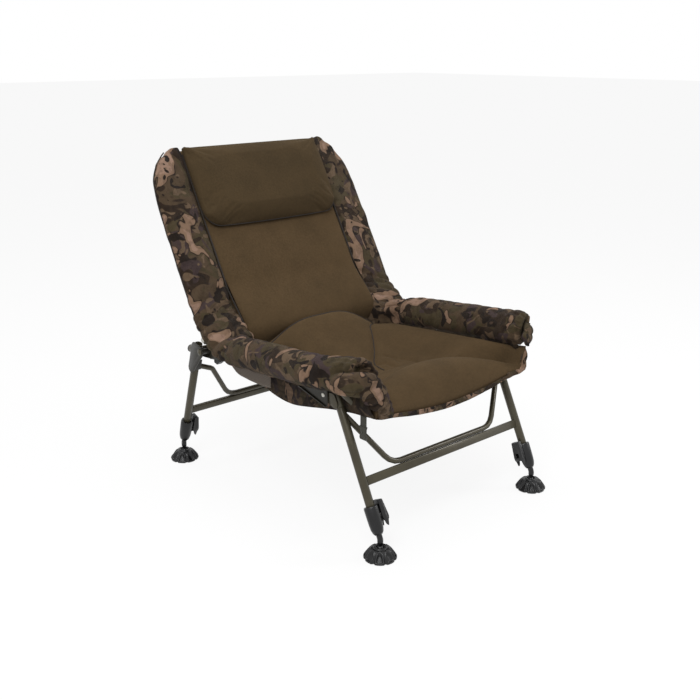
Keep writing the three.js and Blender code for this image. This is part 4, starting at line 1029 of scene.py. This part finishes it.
def on_seat(x_at, v_at):
    """Height of the finished seat at a place, read back from its grid."""
    c = np.clip((np.asarray(x_at) / SEAT_HALF + 1) / 2, 0, 1) * (cols - 1)
    r = np.clip(np.asarray(v_at), 0, 1) * (rows - 1)
    c0, r0 = np.minimum(c.astype(int), cols - 2), np.minimum(r.astype(int), rows - 2)
    fc, fr = c - c0, r - r0
    g = SEAT_GRID
    return ((g[r0, c0] * (1 - fc) + g[r0, c0 + 1] * fc) * (1 - fr)
            + (g[r0 + 1, c0] * (1 - fc) + g[r0 + 1, c0 + 1] * fc) * fr)


print("seat", len(seat.data.vertices), "points")


# %% [markdown]
# Printed cloth closes the seat underneath and comes up round its front edge.
# It is a sheet, so it has one thickness everywhere and follows the pad's
# underside a millimetre below it.

# %% Front edge, side panels and underside
CLOTH = 0.0012
HEAVY_CLOTH = 0.0014


def sheet_from(name, grid, thickness, material, outward, stands_for=()):
    """A closed sheet on the seat: the grid of points and the same grid moved along its normals."""
    grid = np.asarray(grid, float)
    normal = np.cross(np.gradient(grid, axis=0), np.gradient(grid, axis=1))
    normal /= np.maximum(np.linalg.norm(normal, axis=-1), 1e-12)[..., None]
    if (normal.mean((0, 1)) @ np.asarray(outward, float)) < 0:
        normal = -normal
    points, faces = pad(grid + normal * thickness, grid, 1)
    return piece(name, points, faces, material, "seat_frame", stands_for)


def nose_profile(x):
    """From below the nose, up its front, onto the bolster: (y, z) points at one place across."""
    corner_share = float(step(abs(x) / SEAT_HALF, 0.74, 0.98)) ** 1.3
    reach = mix(0.004, 0.012, corner_share)
    below = [(float(seat_y(s)), float(seat_under(x, s))) for s in (0.06, 0.035, 0.012)]
    above = [(float(seat_y(s)), float(seat_top(x, s)) - 0.003) for s in np.linspace(0.002, reach, 7)]
    front_low, front_high = float(seat_under(x, 0)), float(seat_top(x, 0))
    wall = mix(front_low, front_high, mix(0.38, 0.75, corner_share))
    front = [(seat_low.y - 0.0005, z) for z in np.linspace(front_low + 0.001, wall, 6)]
    if corner_share <= 0.02:
        above = [(seat_low.y - 0.0003, wall + 0.0006 * i) for i in range(1, 8)]
    return np.array(below + front + above)


profiles = []
for x_at in np.linspace(-SEAT_HALF + 0.0005, SEAT_HALF - 0.0005, 121):
    line = nose_profile(x_at)
    tangent = np.gradient(line, axis=0)
    tangent /= np.maximum(np.linalg.norm(tangent, axis=1), 1e-9)[:, None]
    outwards = np.stack([-tangent[:, 1], tangent[:, 0]], -1)
    line = line + outwards * 0.0022
    profiles.append(np.stack([np.full(len(line), x_at), line[:, 0], line[:, 1]], -1))
profiles = np.array(profiles)
flat_spots = profiles.reshape(-1, 3)
corner_folds = step(np.abs(flat_spots[:, 0]) / SEAT_HALF, 0.6, 0.95)
ruck = 0.0010 * ripple(flat_spots, (50, 50, 50), 4) + 0.0016 * corner_folds * np.sin(
    (flat_spots[:, 0] * 0.6 + flat_spots[:, 2]) / 0.0048 + 2 * ripple(flat_spots, (20, 20, 20), 6))
profiles[:, :, 1] = plan_y(profiles[:, :, 0], profiles[:, :, 1]) - ruck.reshape(profiles.shape[:2]) - 0.0012
front_edge = sheet_from("seat_front_edge", profiles, CLOTH, woodland, (0, -1, 0),
                        ["seat_front_border"])

u, v = np.meshgrid(np.linspace(0, 1, 81), np.linspace(0, 1, 81))
x = (2 * u - 1) * (SEAT_HALF - 0.001)
y = mix(seat_low.y + 0.001, seat_high.y - 0.001, v)
share = seat_share(y)
sag = 0.0015 * ripple(np.stack([x.ravel(), y.ravel(), 0 * x.ravel()], -1), (16, 22, 1), 9).reshape(x.shape)
under_grid = np.stack([x, plan_y(x, y), seat_under(x, share) - 0.0015 + np.minimum(sag, 0)], -1)
# the underside takes the darker copy of the print: painted shade under the seat
underside = sheet_from("seat_underside", under_grid, CLOTH, woodland_shaded, (0, 0, -1))

for name, side in SIDES:
    y0, y1 = seat_low.y + 0.006, seat_high.y - 0.026
    u, v = np.meshgrid(np.linspace(0, 1, 91), np.linspace(0, 1, 25))
    y = mix(y0, y1, u)
    share = seat_share(y)
    low = seat_under(SEAT_HALF, share) - 0.002
    high = rail_z(y) - 0.006
    z = mix(low, high, v)
    front = 1 - step(u, 0.0, 0.45)
    spot = np.stack([0 * y.ravel(), y.ravel(), z.ravel()], -1)
    pleat = np.sin(y / 0.012 + z / 0.018 + 2.2 * ripple(spot, (1, 18, 22), side + 13).reshape(y.shape))
    belly = 0.004 + 0.010 * front * np.sin(np.pi * np.clip(v, 0.05, 0.95))
    x = SEAT_HALF + 0.0012 + belly * np.sin(np.pi * mix(0.15, 0.85, v)) + 0.0016 * pleat * front
    # the side panels take the darker copy of the print: painted shade where they hang under the arm roll
    panel = sheet_from(f"seat_side_{name}", np.stack([side * x, plan_y(x, y), z], -1), HEAVY_CLOTH, woodland_shaded,
                       (side, 0, 0), [f"seat_side_panel_{name}"])
print("cloth round the seat made")


# %% [markdown]
# Each arm roll is a foam roll in a printed sleeve. The sleeve's front end is
# gathered: the cloth turns in and its folds run to a dark dimple. A pleat is a
# swing of the radius with the angle, which grows towards the gathered end.

# %% Arm rolls
roll_low, roll_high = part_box("arm_roll_left")
ROLL_X = 319 * MM
ROLL_RADIUS = 42 * MM
ROLL_OVER_RAIL = 31 * MM
# the right roll's front end is pulled inwards by its sleeve, the left one hardly
ROLL_BEND = {1: 10 * MM, -1: 30 * MM}
ROLL_SHARES = [
    [0, 0.9], [0.02, 0.97], [0.06, 1.0], [0.3, 1.02], [0.6, 1], [0.8, 0.98],
    [0.9, 0.9], [0.96, 0.76], [1, 0.55],
]


def roll_mesh(side):
    a = around(96)
    rings = []

    def ring(y, share, pleat, seed):
        r = ROLL_RADIUS * share
        fold = (np.sin(11 * a + 0.7 * np.sin(3 * a + seed) + side) * 0.6
                + np.sin(17 * a + 2 * side + 0.5 * seed) * 0.4)
        # the cloth hangs lower on the inner side, where the seat is sewn to it
        droop = 1 + 0.27 * np.exp(-(((np.degrees(a) - 218) / 42) ** 2))
        r = r * (1 + pleat * fold) * mix(1, droop, min(share / 0.8, 1) ** 3)
        ahead = 1 - float(step(y - roll_low.y, 0.0, 0.15))
        # a crease parts the gathered end from the cloth that runs on below it
        crease = ahead * np.exp(-(((np.degrees(a) - 12) / 16) ** 2))
        r = r * (1 - 0.26 * crease * min(share / 0.8, 1))
        eye = 17 * MM * max(1 - share / 0.95, 0) * ahead
        x = ROLL_X - ROLL_BEND[side] * ahead
        # the end slants: its outer side lies further back
        y = y + 0.38 * (r * np.cos(a) + ROLL_RADIUS) * (1 - float(step(y - roll_low.y, 0.0, 0.07)))
        z = rail_z(y) + ROLL_OVER_RAIL + 4 * MM * ahead + eye
        return np.stack([side * (x + r * np.cos(a)), y + 0 * a, z + r * np.sin(a)], -1)

    # the dimple: from deep inside the gather out to the rim
    dimple = [(0.016, 0.03, 0.0), (0.015, 0.1, 0.2), (0.011, 0.2, 0.32), (0.005, 0.34, 0.26),
              (0.0015, 0.5, 0.16), (0.0, 0.64, 0.1), (0.001, 0.77, 0.07), (0.005, 0.88, 0.05)]
    for depth, share, pleat in dimple:
        rings.append(ring(roll_low.y + depth, share, pleat, 1.0))
    for w in np.linspace(0.02, 1, 70):
        y = mix(roll_low.y, roll_high.y, w)
        pleat = 0.045 * (1 - float(step(w, 0.02, 0.2)))
        share = float(through(ROLL_SHARES, w))
        got = ring(y, share, pleat, 1 + 3 * w)
        if w > 0.8:
            got[:, 2] -= (w - 0.8) * ROLL_RADIUS * 1.2
        rings.append(got)
    return loft(rings)


for name, side in SIDES:
    points, faces = roll_mesh(side)
    roll = piece(f"arm_roll_{name}_soft", points, faces, woodland, "seat_frame",
                 [f"arm_roll_{name}"])
    co = coords(roll)
    along = (co[:, 1] - roll_low.y) / (roll_high.y - roll_low.y)
    front, rear = 1 - step(along, 0.05, 0.42), step(along, 0.66, 0.95)
    slant = co[:, 1] + 0.35 * (co[:, 2] - rail_z(co[:, 1])) + 0.1 * np.abs(co[:, 0])
    waves = creased(slant / 0.006 + 2.6 * ripple(co, (14, 7, 14), side + 21))
    big = ripple(co, (14, 11, 14), side + 24)
    fine = ripple(co, (45, 28, 45), side + 27)
    hollow = along > 0.012
    push(roll, hollow * (0.0016 * waves * (0.35 + 0.8 * front + rear) + 0.0026 * big + 0.0010 * fine))
print("arm rolls", len(roll.data.vertices), "points each")


# %% [markdown]
# Between the rear end of each arm roll and the foot of the border the printed
# cloth runs on in one gathered corner, over the hinge. It crosses a joint, so it
# is a piece of its own, which runs from the seat at one end to the back at the
# other.

# %% Gathered corners over the hinge
def along_spine(knots, t):
    """Smooth values through evenly spaced knots."""
    table = np.linspace(0, 1, len(knots))
    return np.stack([through(np.stack([table, column], -1), t) for column in np.array(knots, float).T], -1)


def corner_mesh(side):
    y0 = roll_high.y
    foot = back_points(0, 0, [0.052, 0.085, 0.115])
    # across, along, up, half width across, half depth
    knots = [
        (0.319, y0 - 0.055, rail_z(y0 - 0.055) + 0.026, 0.034, 0.034),
        (0.300, y0 - 0.024, rail_z(y0 - 0.024) + 0.026, 0.056, 0.033),
        (0.290, y0 + 0.006, rail_z(y0 + 0.006) + 0.027, 0.068, 0.031),
        (0.289, hinge.y - 0.012, hinge.z + 0.014, 0.073, 0.028),
        (0.290, foot[0, 1], foot[0, 2], 0.070, 0.024),
        (0.293, foot[1, 1], foot[1, 2], 0.064, 0.019),
        (0.297, foot[2, 1], foot[2, 2], 0.052, 0.010),
    ]
    t = np.linspace(0, 1, 80)
    line = along_spine(knots, t)
    a = around(72)
    tangent = np.gradient(line[:, 1:3], axis=0)
    tangent /= np.linalg.norm(tangent, axis=1)[:, None]
    end = rounded(np.minimum(t, 1 - t), 0.1)
    cos_a, sin_a = squared(np.cos(a), 0.8), squared(np.sin(a), 0.8)
    rings = []
    for (cx, cy, cz, wide, deep), (ty, tz), e in zip(line, tangent, end):
        # its lower inner side hangs deeper, down to the seat's rear corner
        at_hinge = math.exp(-((cy - hinge.y) / 0.03) ** 2)
        hang = 1 + (1.3 + 1.6 * at_hinge) * np.maximum(-cos_a, 0) * (sin_a < 0)
        off = deep * sin_a * hang * mix(0.5, 1, e)
        rings.append(np.stack([side * (cx + wide * cos_a * mix(0.7, 1, e)), cy - tz * off, cz + ty * off], -1))
    return loft(rings)


for name, side in SIDES:
    points, faces = corner_mesh(side)
    corner = piece(f"corner_{name}_gathered", points, faces, woodland)
    co = coords(corner)
    slant = (co[:, 1] * 0.75 + co[:, 2] * 0.75) + 0.45 * np.abs(co[:, 0])
    folds = creased(slant / 0.0048 + 2.6 * ripple(co, (16, 12, 12), side + 31))
    push(corner, 0.0032 * folds + 0.0022 * ripple(co, (40, 40, 40), side + 33))
    rail_z(roll_high.y) + 0.02
    tuple(back_points(0, 0, 0.06))
    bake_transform(corner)

# across, along, up, half thickness, half height: round the seat's front corner
WRAP = [
    (0.320, -0.300, 0.420, 0.018, 0.020), (0.322, -0.350, 0.428, 0.028, 0.026),
    (0.310, -0.386, 0.434, 0.026, 0.030), (0.290, -0.402, 0.428, 0.019, 0.033),
    (0.270, -0.409, 0.404, 0.015, 0.031), (0.248, -0.412, 0.374, 0.011, 0.024),
    (0.215, -0.410, 0.346, 0.005, 0.012),
]


def wrap_mesh(side, reach):
    t = np.linspace(0, reach, 90)
    line = along_spine(WRAP, t)
    line[:, 3] *= reach
    centre, size = line[:, :3] * (side, 1, 1), line[:, 3:]
    tangent = np.gradient(centre, axis=0)
    tangent /= np.linalg.norm(tangent, axis=1)[:, None]
    across = np.cross(tangent, (0, 0, 1))
    across /= np.linalg.norm(across, axis=1)[:, None]
    upward = np.cross(across, tangent)
    end = rounded(np.minimum(t, reach - t) / reach, 0.12)
    a = around(64)[:, None]
    return loft([c + (s * thick * np.cos(a) + u * high * np.sin(a)) * mix(0.35, 1, e)
                 for c, s, u, (thick, high), e in zip(centre, across, upward, size, end)])


# the photograph shows the right one; the left one is hidden behind the seat and ends short
for name, side, reach in (("left", 1, 0.6), ("right", -1, 1.0)):
    points, faces = wrap_mesh(side, reach)
    wrap = piece(f"front_corner_{name}_wrap", points, faces, woodland, "seat_frame")
    co = coords(wrap)
    slant = co[:, 2] + 0.5 * np.abs(co[:, 0]) - 0.3 * co[:, 1]
    push(wrap, 0.0024 * creased(slant / 0.0045 + 2.4 * ripple(co, (20, 20, 12), side + 41))
         + 0.0026 * ripple(co, (30, 30, 30), side + 43))
print("corners gathered")


# %% [markdown]
# A woven band hangs from each rail near the hinge. Its lower edge is turned up
# into a hem. It is thin and only held along its top, so it bows out a little.

# %% Sling bands
for name, side in SIDES:
    low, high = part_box(f"sling_band_{name}")
    u, v = np.meshgrid(np.linspace(0, 1, 61), np.linspace(0, 1, 17))
    y = mix(low.y, high.y, u)
    reach = 40 * MM
    top_z = rail_z(y) + 11 * MM - reach * 0.44
    low_z = rail_z(y) + 11 * MM - reach * through([[0, 1.72], [0.25, 1.7], [0.6, 1.55], [0.85, 1.3], [1, 0.85]], u)
    z = mix(low_z, top_z, v)
    bow = 0.0015 * np.sin(np.pi * u) * np.sin(np.pi * v)
    x = (min(abs(low.x), abs(high.x))) + bow
    hem = 0.0007 * (v < 0.13)
    band = sheet_from(f"sling_band_{name}_woven", np.stack([side * (x + hem), y, z], -1), HEAVY_CLOTH, band_weave,
                      (side, 0, 0), [f"sling_band_{name}"])
finished_copy("strap_buckle", webbing, 0.0008, "strap_end")
print("bands and strap made")


# %% [markdown]
# Piping is a cord sewn into a seam under a folded strip of cloth. It follows a
# path, so Geometry Nodes sweep a small round along the seam's line: the curve is
# resampled evenly, a circle is swept along it, and the finish is set.

# %% A Geometry Nodes tree for piping
def piping_tree():
    tree = bpy.data.node_groups.new("piping_along_a_seam", "GeometryNodeTree")
    face = tree.interface
    _, radius, pitch, cloth = (
        face.new_socket(label, in_out="INPUT", socket_type="NodeSocket" + kind).identifier
        for label, kind in (
            ("Seam", "Geometry"), ("Radius", "Float"), ("Sample length", "Float"), ("Cloth", "Material"))
    )
    face.new_socket("Piping", in_out="OUTPUT", socket_type="NodeSocketGeometry")
    new = tree.nodes.new
    start, end = new("NodeGroupInput"), new("NodeGroupOutput")
    even = new("GeometryNodeResampleCurve")
    if hasattr(even, "mode"):
        even.mode = "LENGTH"
    else:
        even.inputs["Mode"].default_value = "Length"
    ring = new("GeometryNodeCurvePrimitiveCircle")
    ring.inputs["Resolution"].default_value = 10
    sweep = new("GeometryNodeCurveToMesh")
    sweep.inputs["Fill Caps"].default_value = True
    smooth = new("GeometryNodeSetShadeSmooth")
    real = new("GeometryNodeRealizeInstances")
    paint = new("GeometryNodeSetMaterial")
    for source, output, target, entry in (
        (start, "Seam", even, "Curve"), (start, "Sample length", even, "Length"),
        (start, "Radius", ring, "Radius"), (even, "Curve", sweep, "Curve"),
        (ring, "Curve", sweep, "Profile Curve"), (sweep, "Mesh", smooth, "Geometry"),
        (smooth, "Geometry", real, "Geometry"), (real, "Geometry", paint, "Geometry"),
        (start, "Cloth", paint, "Material"), (paint, "Geometry", end, "Piping"),
    ):
        tree.links.new(source.outputs[output], target.inputs[entry])
    return tree, radius, pitch, cloth


PIPING, PIPING_RADIUS, PIPING_PITCH, PIPING_CLOTH = piping_tree()
SAMPLE_LENGTH = 0.006


def piping(name, line, body, radius):
    curve = bpy.data.curves.new(name + "_line", "CURVE")
    curve.dimensions = "3D"
    spline = curve.splines.new("POLY")
    spline.points.add(len(line) - 1)
    for point, place in zip(spline.points, line):
        point.co = (*map(float, place), 1)
    source = linked(name + "_line", curve)
    maker = source.modifiers.new("piping", "NODES")
    maker.node_group = PIPING
    maker[PIPING_RADIUS], maker[PIPING_PITCH] = radius, SAMPLE_LENGTH
    maker[PIPING_CLOTH] = piping_cloth
    depsgraph = bpy.context.evaluated_depsgraph_get()
    mesh = bpy.data.meshes.new_from_object(source.evaluated_get(depsgraph))
    bpy.data.objects.remove(source)
    obj = linked(name, mesh)
    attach(obj, body)
    return obj


# %% [markdown]
# Each line of piping starts from where the seam lies on the cushions, so it is
# worked out from the same tables that made them.

# %% Piping on the back and the seat
w = np.linspace(0.0, 0.97, 60)
for name, side in SIDES:
    front = CUSHION_FRONT + lumbar_belly(w) * 0.6 + 0.5 * MM
    line = back_points(side * (CUSHION_HALF + 1.6 * MM), front, w * BACK_TOP)
    piping(f"piping_back_{name}", line, "back_frame", 2.4 * MM)
w = np.linspace(0.09, 1.0, 70)
edge_x = BORDER_OUTER * through(BORDER_OUT, w) + 1.4 * MM
for name, side in SIDES:
    piping(f"piping_border_{name}", back_points(side * edge_x, 1.5 * MM, w * BACK_TOP), "back_frame", 1.8 * MM)
x = np.linspace(-PILLOW_HALF, PILLOW_HALF, 90)
piping("piping_pillow_foot", back_points(x, CUSHION_FRONT + 9 * MM, pillow_foot(x)), "back_frame", 1.5 * MM)
for name, side in SIDES:
    seam = seat_side_seam(side)
    shares = seat_share(seam[:, 1])
    spread = np.linspace(0, len(seam) - 1, 60)
    across = np.interp(spread, range(len(seam)), seam[:, 0])
    shares = np.interp(spread, range(len(seam)), shares)
    seam = np.stack([across, plan_y(across, seat_y(shares)), on_seat(np.abs(across), shares) + 0.8 * MM], -1)
    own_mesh(piping(f"piping_seat_{name}", seam, "seat_frame", 1.5 * MM))
x = np.linspace(-0.236, 0.236, 70)
rear = 0.975 + 0 * x
rear_line = np.stack([x, seat_y(rear), on_seat(x, rear) + 0.3 * MM], -1)
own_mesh(piping("piping_seat_rear", rear_line, "seat_frame", 1.8 * MM))
print("piping sewn")


# %% [markdown]
# The photograph was taken in a white studio. A pale floor keeps the chair's soft
# shadow, and large soft lamps stand above and to both sides. The world is white
# to the camera but dimmer to everything else, so it doesn't flood the folds.

# %% Studio
def world_light(strength):
    world = bpy.data.worlds.new("studio")
    scene.world = world
    world.use_nodes = True
    tree = world.node_tree
    tree.nodes.clear()
    ray = tree.nodes.new("ShaderNodeLightPath")
    seen_by = ray.outputs["Is Camera Ray"]
    for kind in ("Is Glossy Ray", "Is Transmission Ray"):
        lift = tree.nodes.new("ShaderNodeMath")
        lift.operation = "MAXIMUM"
        tree.links.new(seen_by, lift.inputs[0])
        tree.links.new(ray.outputs[kind], lift.inputs[1])
        seen_by = lift.outputs[0]
    power = tree.nodes.new("ShaderNodeMapRange")
    power.inputs["To Min"].default_value = strength
    power.inputs["To Max"].default_value = 1.0
    tree.links.new(seen_by, power.inputs["Value"])
    back = tree.nodes.new("ShaderNodeBackground")
    back.inputs["Color"].default_value = (1, 1, 1, 1)
    tree.links.new(power.outputs[0], back.inputs["Strength"])
    out = tree.nodes.new("ShaderNodeOutputWorld")
    tree.links.new(back.outputs[0], out.inputs["Surface"])


def soft_lamp(name, place, aim, size, power):
    lamp = bpy.data.lights.new(name, "AREA")
    lamp.shape, lamp.size, lamp.energy = "DISK", size, power
    obj = linked(name, lamp)
    obj.location = place
    obj.rotation_euler = (Vector(aim) - Vector(place)).to_track_quat("-Z", "Y").to_euler()


world_light(strength=0.55)
soft_lamp("key_lamp", (-1.8, -1.2, 2.8), (0, 0, 0.4), 1.8, 60)
soft_lamp("fill_lamp", (2.4, -1.8, 1.8), (0, 0, 0.4), 0.9, 24)
soft_lamp("top_lamp", (0.2, 0.6, 3.0), (0, 0, 0.4), 2.2, 34)

f = Finish("studio_floor")
rays = f.node("ShaderNodeLightPath")
seen = rays.out("Is Camera Ray") + rays.out("Is Glossy Ray") + rays.out("Is Transmission Ray")
grain = f.noise(30, 3, 0.5)
paper = f.node("ShaderNodeBsdfDiffuse", None, {
    "Color": f.mixed(grain, (0.86, 0.86, 0.86, 1), (0.89, 0.89, 0.89, 1))})
glow = f.node("ShaderNodeEmission", None, {"Color": (1, 1, 1, 1), "Strength": 1.0})
blend = f.node("ShaderNodeMixShader", None, {0: seen * 0.88, 1: paper.out(), 2: glow.out()})
f.node("ShaderNodeOutputMaterial", None, {"Surface": blend.out()})
floor_mesh = bpy.data.meshes.new("floor")
floor_mesh.from_pydata([(-30, -30, 0), (30, -30, 0), (30, 30, 0), (-30, 30, 0)], [], [(0, 1, 2, 3)])
floor_mesh.materials.append(f.material)
floor = linked("floor", floor_mesh)
# just below the feet, so that the two don't share a plane
floor.location.z = -0.0004
scene.view_settings.view_transform = "Standard"
print("studio lit")


# %% [markdown]
# The camera was found by matching the chair's feet, pivots and tubes in the
# photograph: it stands at the chair's front right, a little above the seat, with
# a lens of about 48 mm and no roll.

# %% Camera
FOCAL_PIXELS, PHOTO_PIXELS, SENSOR = 929.97, 700, 36.0
lens_data = bpy.data.cameras.new("camera")
lens_data.sensor_width, lens_data.lens = SENSOR, SENSOR * FOCAL_PIXELS / PHOTO_PIXELS
camera = linked("camera", lens_data)
camera.location = (-1.6398, hinge.y - 2.09552, 1.1769)
camera.rotation_euler = Vector((0.6223, 0.7183, -0.3109)).to_track_quat("-Z", "Y").to_euler()
scene.camera = camera
print("camera", [round(c, 3) for c in camera.location], "lens", round(lens_data.lens, 2))


# %% The scene brought up to date
bpy.context.view_layer.update()
